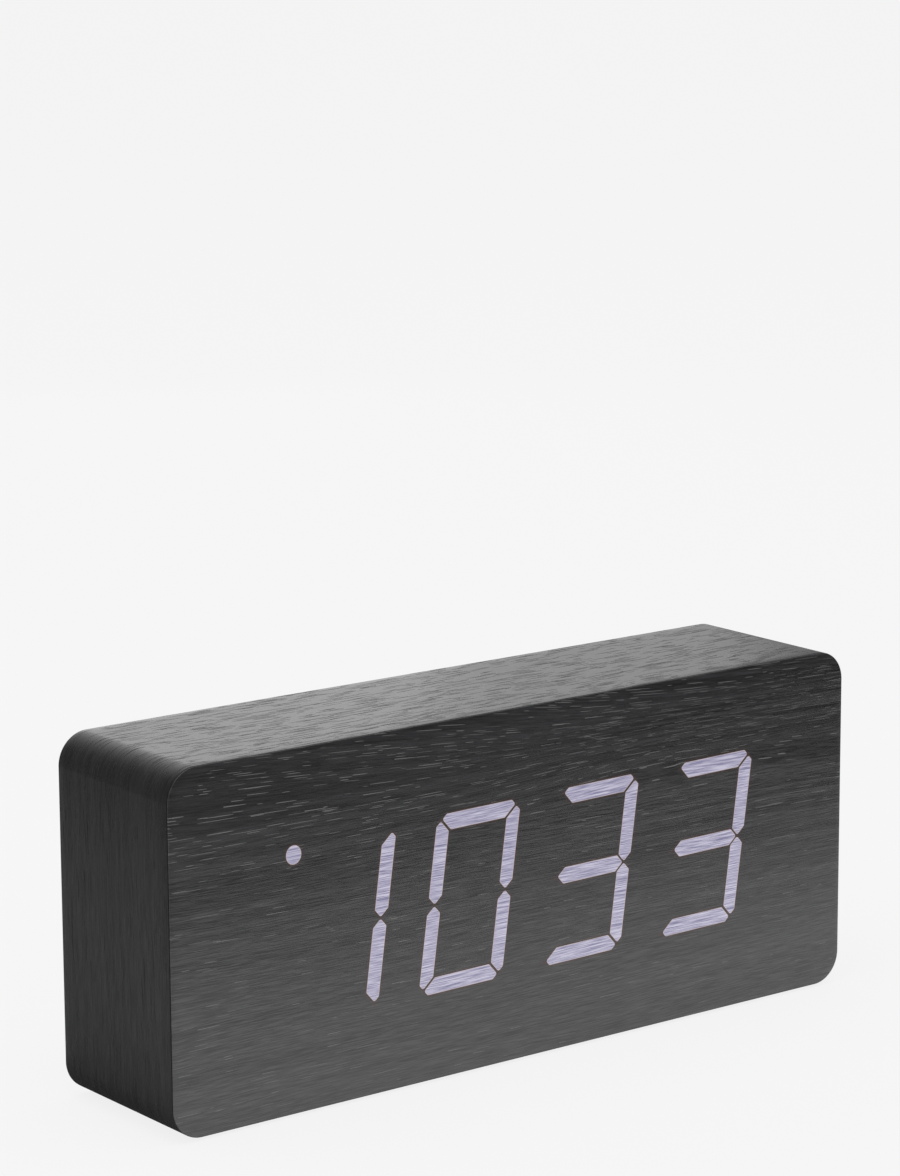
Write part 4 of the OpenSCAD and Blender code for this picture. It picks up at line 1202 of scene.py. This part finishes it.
@dataclass
class Studio:
    """Pale floor, soft light and the camera. Metres, degrees; the picture is 900 by 1176 pixels."""

    azimuth: float = -37.4971
    elevation: float = 11.3831
    roll: float = -0.2659
    distance: float = 0.9818964
    aside: float = -0.0045967
    above: float = 0.0693373
    aim_height: float = 0.045
    focal_px: float = 3914.9282
    long_px: float = 1176.0
    sensor_mm: float = 36.0
    clip: Pair = (0.01, 100.0)
    pale: Hex = "#f5f5f5"
    ambient: float = 0.55
    shadow: float = 0.12
    lift: float = 1.045
    floor_half: float = 20.0
    # Half sizes, fade width and albedos of the painted contact shadow in the floor's paint round the block
    foot: Pair = (0.112, 0.026)
    painted_shadow_fade: float = 0.004
    painted_shadow_albedo: Pair = (0.02, 0.8)
    grid: int = 5

    def camera(self) -> None:
        """Stand the camera where the picture was taken from: turned, then shifted aside, up and back."""
        a, e, q = (math.radians(v) for v in (self.azimuth, self.elevation, self.roll))
        pose = Matrix.Translation((0, 0, self.aim_height))
        for angle, axis in ((a, "Z"), (math.pi / 2 - e, "X"), (q, "Z")):
            pose = pose @ Matrix.Rotation(angle, 4, axis)
        data = bpy.data.cameras.new("camera")
        data.sensor_width = self.sensor_mm
        data.lens = self.focal_px / self.long_px * self.sensor_mm
        data.clip_start, data.clip_end = self.clip
        camera = bpy.data.objects.new("camera", data)
        camera.matrix_world = pose @ Matrix.Translation((self.aside, self.above, self.distance))
        bpy.context.scene.collection.objects.link(camera)
        bpy.context.scene.camera = camera

    def seen(self, add: Adder) -> NodeSocket:
        """Tell the rays that show the background from those that only light the object.

        Args:
            add: adds a node to the material or world.

        Returns:
            An output that is 1 for the first kind and 0 for the others.
        """
        path = add("LightPath").node.outputs
        shown = path["Is Camera Ray"]
        for name in ("Is Glossy Ray", "Is Transmission Ray"):
            shown = add("Math:MAXIMUM", (shown, path[name]))
        return shown

    def world(self) -> None:
        """Pale all round to the eye, and an even soft light on the object."""
        world = bpy.data.worlds.new("studio")
        add = fresh(world)
        shown = add("Background", (self.pale, 1.0))
        lit = add("Background", ("#ffffff", self.ambient))
        add("OutputWorld", (add("MixShader", (self.seen(add), lit, shown)),))
        bpy.context.scene.world = world

    def patch(self, name: str, corners: tuple[Triple, ...], paint: str) -> tuple[Object, Adder]:
        """Stretch a sheet of the stage between four corners, and start its material.

        The points lie at p = (1-s)(1-t) a + s (1-t) b + s t c + (1-s) t d.

        Args:
            name: name of the sheet.
            corners: its corners a, b, c and d, clockwise seen from its front.
            paint: name of its material.

        Returns:
            The sheet, and the function that adds nodes to its material.
        """
        side = np.linspace(0, 1, self.grid)
        s, t = np.stack(np.meshgrid(side, side)).reshape(2, -1, 1)
        a, b, c, d = np.array(corners) / MM
        points = (1 - t) * ((1 - s) * a + s * b) + t * ((1 - s) * d + s * c)
        numbers = np.arange(len(points)).reshape(self.grid, -1)
        sheet = put_mesh(name, points, [strip_faces(numbers, False)])
        material = bpy.data.materials.new(paint)
        sheet.data.materials.append(material)
        return sheet, fresh(material)

    def floor(self) -> None:
        """A wide pale floor: nearly even to the eye, with a share of real shading for the object's shadow.

        Close to the block the light that it gives back to the object fades to near black: a painted contact
        shadow that camera and glossy rays don't see.
        """
        half = self.floor_half
        corners = ((-half, half, 0), (half, half, 0), (half, -half, 0), (-half, -half, 0))
        _, add = self.patch("floor", corners, "painted_studio_floor")
        # Painted contact shadow: the paint darkens inside a box round the block's foot
        place = add("VectorMath:ABSOLUTE", (add("TexCoord", out="Object"),))
        place = add("VectorMath:SUBTRACT", (place, (*self.foot, 0)))
        sides = add("SeparateXYZ", (place,)).node.outputs
        away = add("Math:MAXIMUM", (sides[0], sides[1]))
        white = add("MapRange", (away, 0.0, self.painted_shadow_fade, *self.painted_shadow_albedo))
        paint = add("BsdfDiffuse", (white,))
        pale = add("Emission", (self.pale, self.lift))
        shade = add("BsdfDiffuse", (self.pale,))
        shown = add("MixShader", (self.shadow, pale, shade))
        mix = add("MixShader", (self.seen(add), paint, shown))
        below = add("NewGeometry", out="Backfacing")
        top = add("MixShader", (below, mix, add("BsdfTransparent")))
        add("OutputMaterial", (top,))

    def lamp(self, name: str, place: Triple, aim: Triple, size: Pair, watts: float) -> None:
        """Hang a soft box.

        Args:
            name: name of the lamp.
            place: where it hangs.
            aim: point that it faces.
            size: width and height of the box.
            watts: its power.
        """
        data = bpy.data.lights.new(name, "AREA")
        data.shape = "RECTANGLE"
        data.size, data.size_y = size
        data.energy = watts
        lamp = bpy.data.objects.new(name, data)
        lamp.location = place
        lamp.rotation_mode = "QUATERNION"
        lamp.rotation_quaternion = (Vector(aim) - Vector(place)).to_track_quat("-Z", "Y")
        lamp.visible_camera = False
        bpy.context.scene.collection.objects.link(lamp)

    def card(self, name: str, corners: tuple[Triple, ...], shade: Hex, far: Hex) -> None:
        """Set up a card that only reflections see, as a studio darkens a side.

        Args:
            name: name of the card.
            corners: its corners a, b, c and d in turn.
            shade: what it gives back along its edge from a to d.
            far: what it gives back along its edge from b to c, with an even change between them.
        """
        card, add = self.patch(name, corners, name)
        put_values(card, "fade", np.tile(np.linspace(0, 1, self.grid), self.grid))
        fade = add("Attribute", out="Fac", attribute_name="fade")
        tone = add("Mix:RGBA", (fade, shade, far))
        add("OutputMaterial", (add("Emission", (tone,)),))
        card.visible_camera = card.visible_diffuse = card.visible_shadow = False

    def cards(self) -> None:
        """Set up the cards: graded strips on the floor at the left, one in front, and walls all round."""
        low, front, tall, dark, grey = 0.0004, -0.023, 1.4, "#262629", "#303030"
        # The floor strips at the left are black at the block's side and grade out through pale to dark grey:
        # a painted contact shadow that only reflections see
        edges = (
            (-0.09, "#000000"), (-0.113, "#5c5c5c"), (-0.14, "#868686"), (-0.21, "#8c8c8c"), (-0.31, grey),
            (-1.2, "#282828"),
        )
        for i, ((x, shade), (far_x, far)) in enumerate(itertools.pairwise(edges)):
            end = 0.9 if i else 0.05  # the strip at the block's foot is short
            strip = ((x, front, low), (far_x, front, low), (far_x, end, low), (x, end, low))
            self.card(f"card_floor_left_{i + 1}", strip, shade, far)
        area = ((-0.4, -0.95, low), (1.4, -0.95, low), (1.4, 0.05, low), (-0.4, -0.26, low))
        self.card("card_floor_front", area, dark, dark)
        for name, a, b, top, shade, far in (
            ("card_front", (-0.2, -0.95), (1.6, -0.8), 0.8, dark, dark),
            ("card_front_right", (1.6, -0.8), (1.42, -0.32), 0.8, dark, dark),
            ("card_rear", (-0.5, 0.95), (0.31, 1.0), tall, grey, "#fcfcfc"),
            ("card_rear_left", (-1.2, 0.9), (-0.5, 0.95), tall, grey, grey),
            ("card_left", (-1.2, -0.2), (-1.2, 0.9), tall, grey, grey),
            ("card_right", (0.86, 0.84), (1.4, -0.3), 0.9, "#a6a6a8", "#a6a6a8"),
        ):
            self.card(name, ((*a, 0), (*b, 0), (*b, top), (*a, top)), shade, far)

    def build(self) -> None:
        """Set up the floor, the light and the camera."""
        bpy.context.scene.view_settings.view_transform = "Standard"
        self.camera()
        self.world()
        self.floor()
        self.lamp("overhead_box", (-0.3, -0.2, 1.5), (0, 0, 0.05), (1.4, 1.4), 7)
        self.lamp("low_front_box", (0.1, -0.088, 0.0005), (0.1, -0.088, 1.0), (0.8, 0.128), 0.235)
        self.lamp("rear_box", (0.525, 0.967, 0.3), (0, 0, 0.09), (0.33, 0.45), 0.152)
        self.cards()


def main() -> None:
    """Build the clock's looks from front to rear, then the studio round it."""
    logging.basicConfig(level=logging.INFO, format="%(name)s: %(message)s")
    # Its edge colour is the warm dark-brown fringe of the lit bars' light painted round them, and its pale
    # pores are painted glints
    front_wood = StainedVeneer("veneer_black_stained_front", edge="#4c3429")
    wrap_wood = StainedVeneer(
        "veneer_black_stained_wrap", stain="#3a3a3b", band="#232324", pore="#141414", pore_depth=0.95,
        gloss=0.22, relief_mm=0.045,
        pores=(
            PoreRows(16.0, 0.9, 0.22, (0.08, 0.42), 0.85, 11.0, 0.5),
            PoreRows(10.0, 0.7, 0.16, (0.08, 0.4), 0.6, 71.0, 0.5),
        ),
    )
    lit_wood = LitVeneer("veneer_lit_from_behind", streak_mm=(9.0, 0.2))
    front = FrontSheet(SevenBarRow(), front_wood, lit_wood)
    front.build()
    wrap = WrapSheet(wrap_wood)
    wrap.build()
    for piece in (*front.pieces, wrap.piece):
        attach(piece, Body.CASE.value)
        log.info("%s: %d faces", piece.name, len(piece.data.polygons))
    Insides(frame["nodes"]).dress()
    pale_print = MouldedPlastic("pad_print_pale_grey", "#a9a9ab", 0.5, 0.3, 0.004)
    for mark in (
        ButtonMark("up_mark", Mark.UP, Body.UP, "up_button"),
        ButtonMark("down_mark", Mark.DOWN, Body.DOWN, "down_button"),
        ButtonMark("set_mark", Mark.SET, Body.SET, "set_button", reach=1.45),
    ):
        piece = mark.build(pale_print)
        log.info("%s: %d faces", piece.name, len(piece.data.polygons))
    Studio().build()


if __name__ == "__main__":
    main()
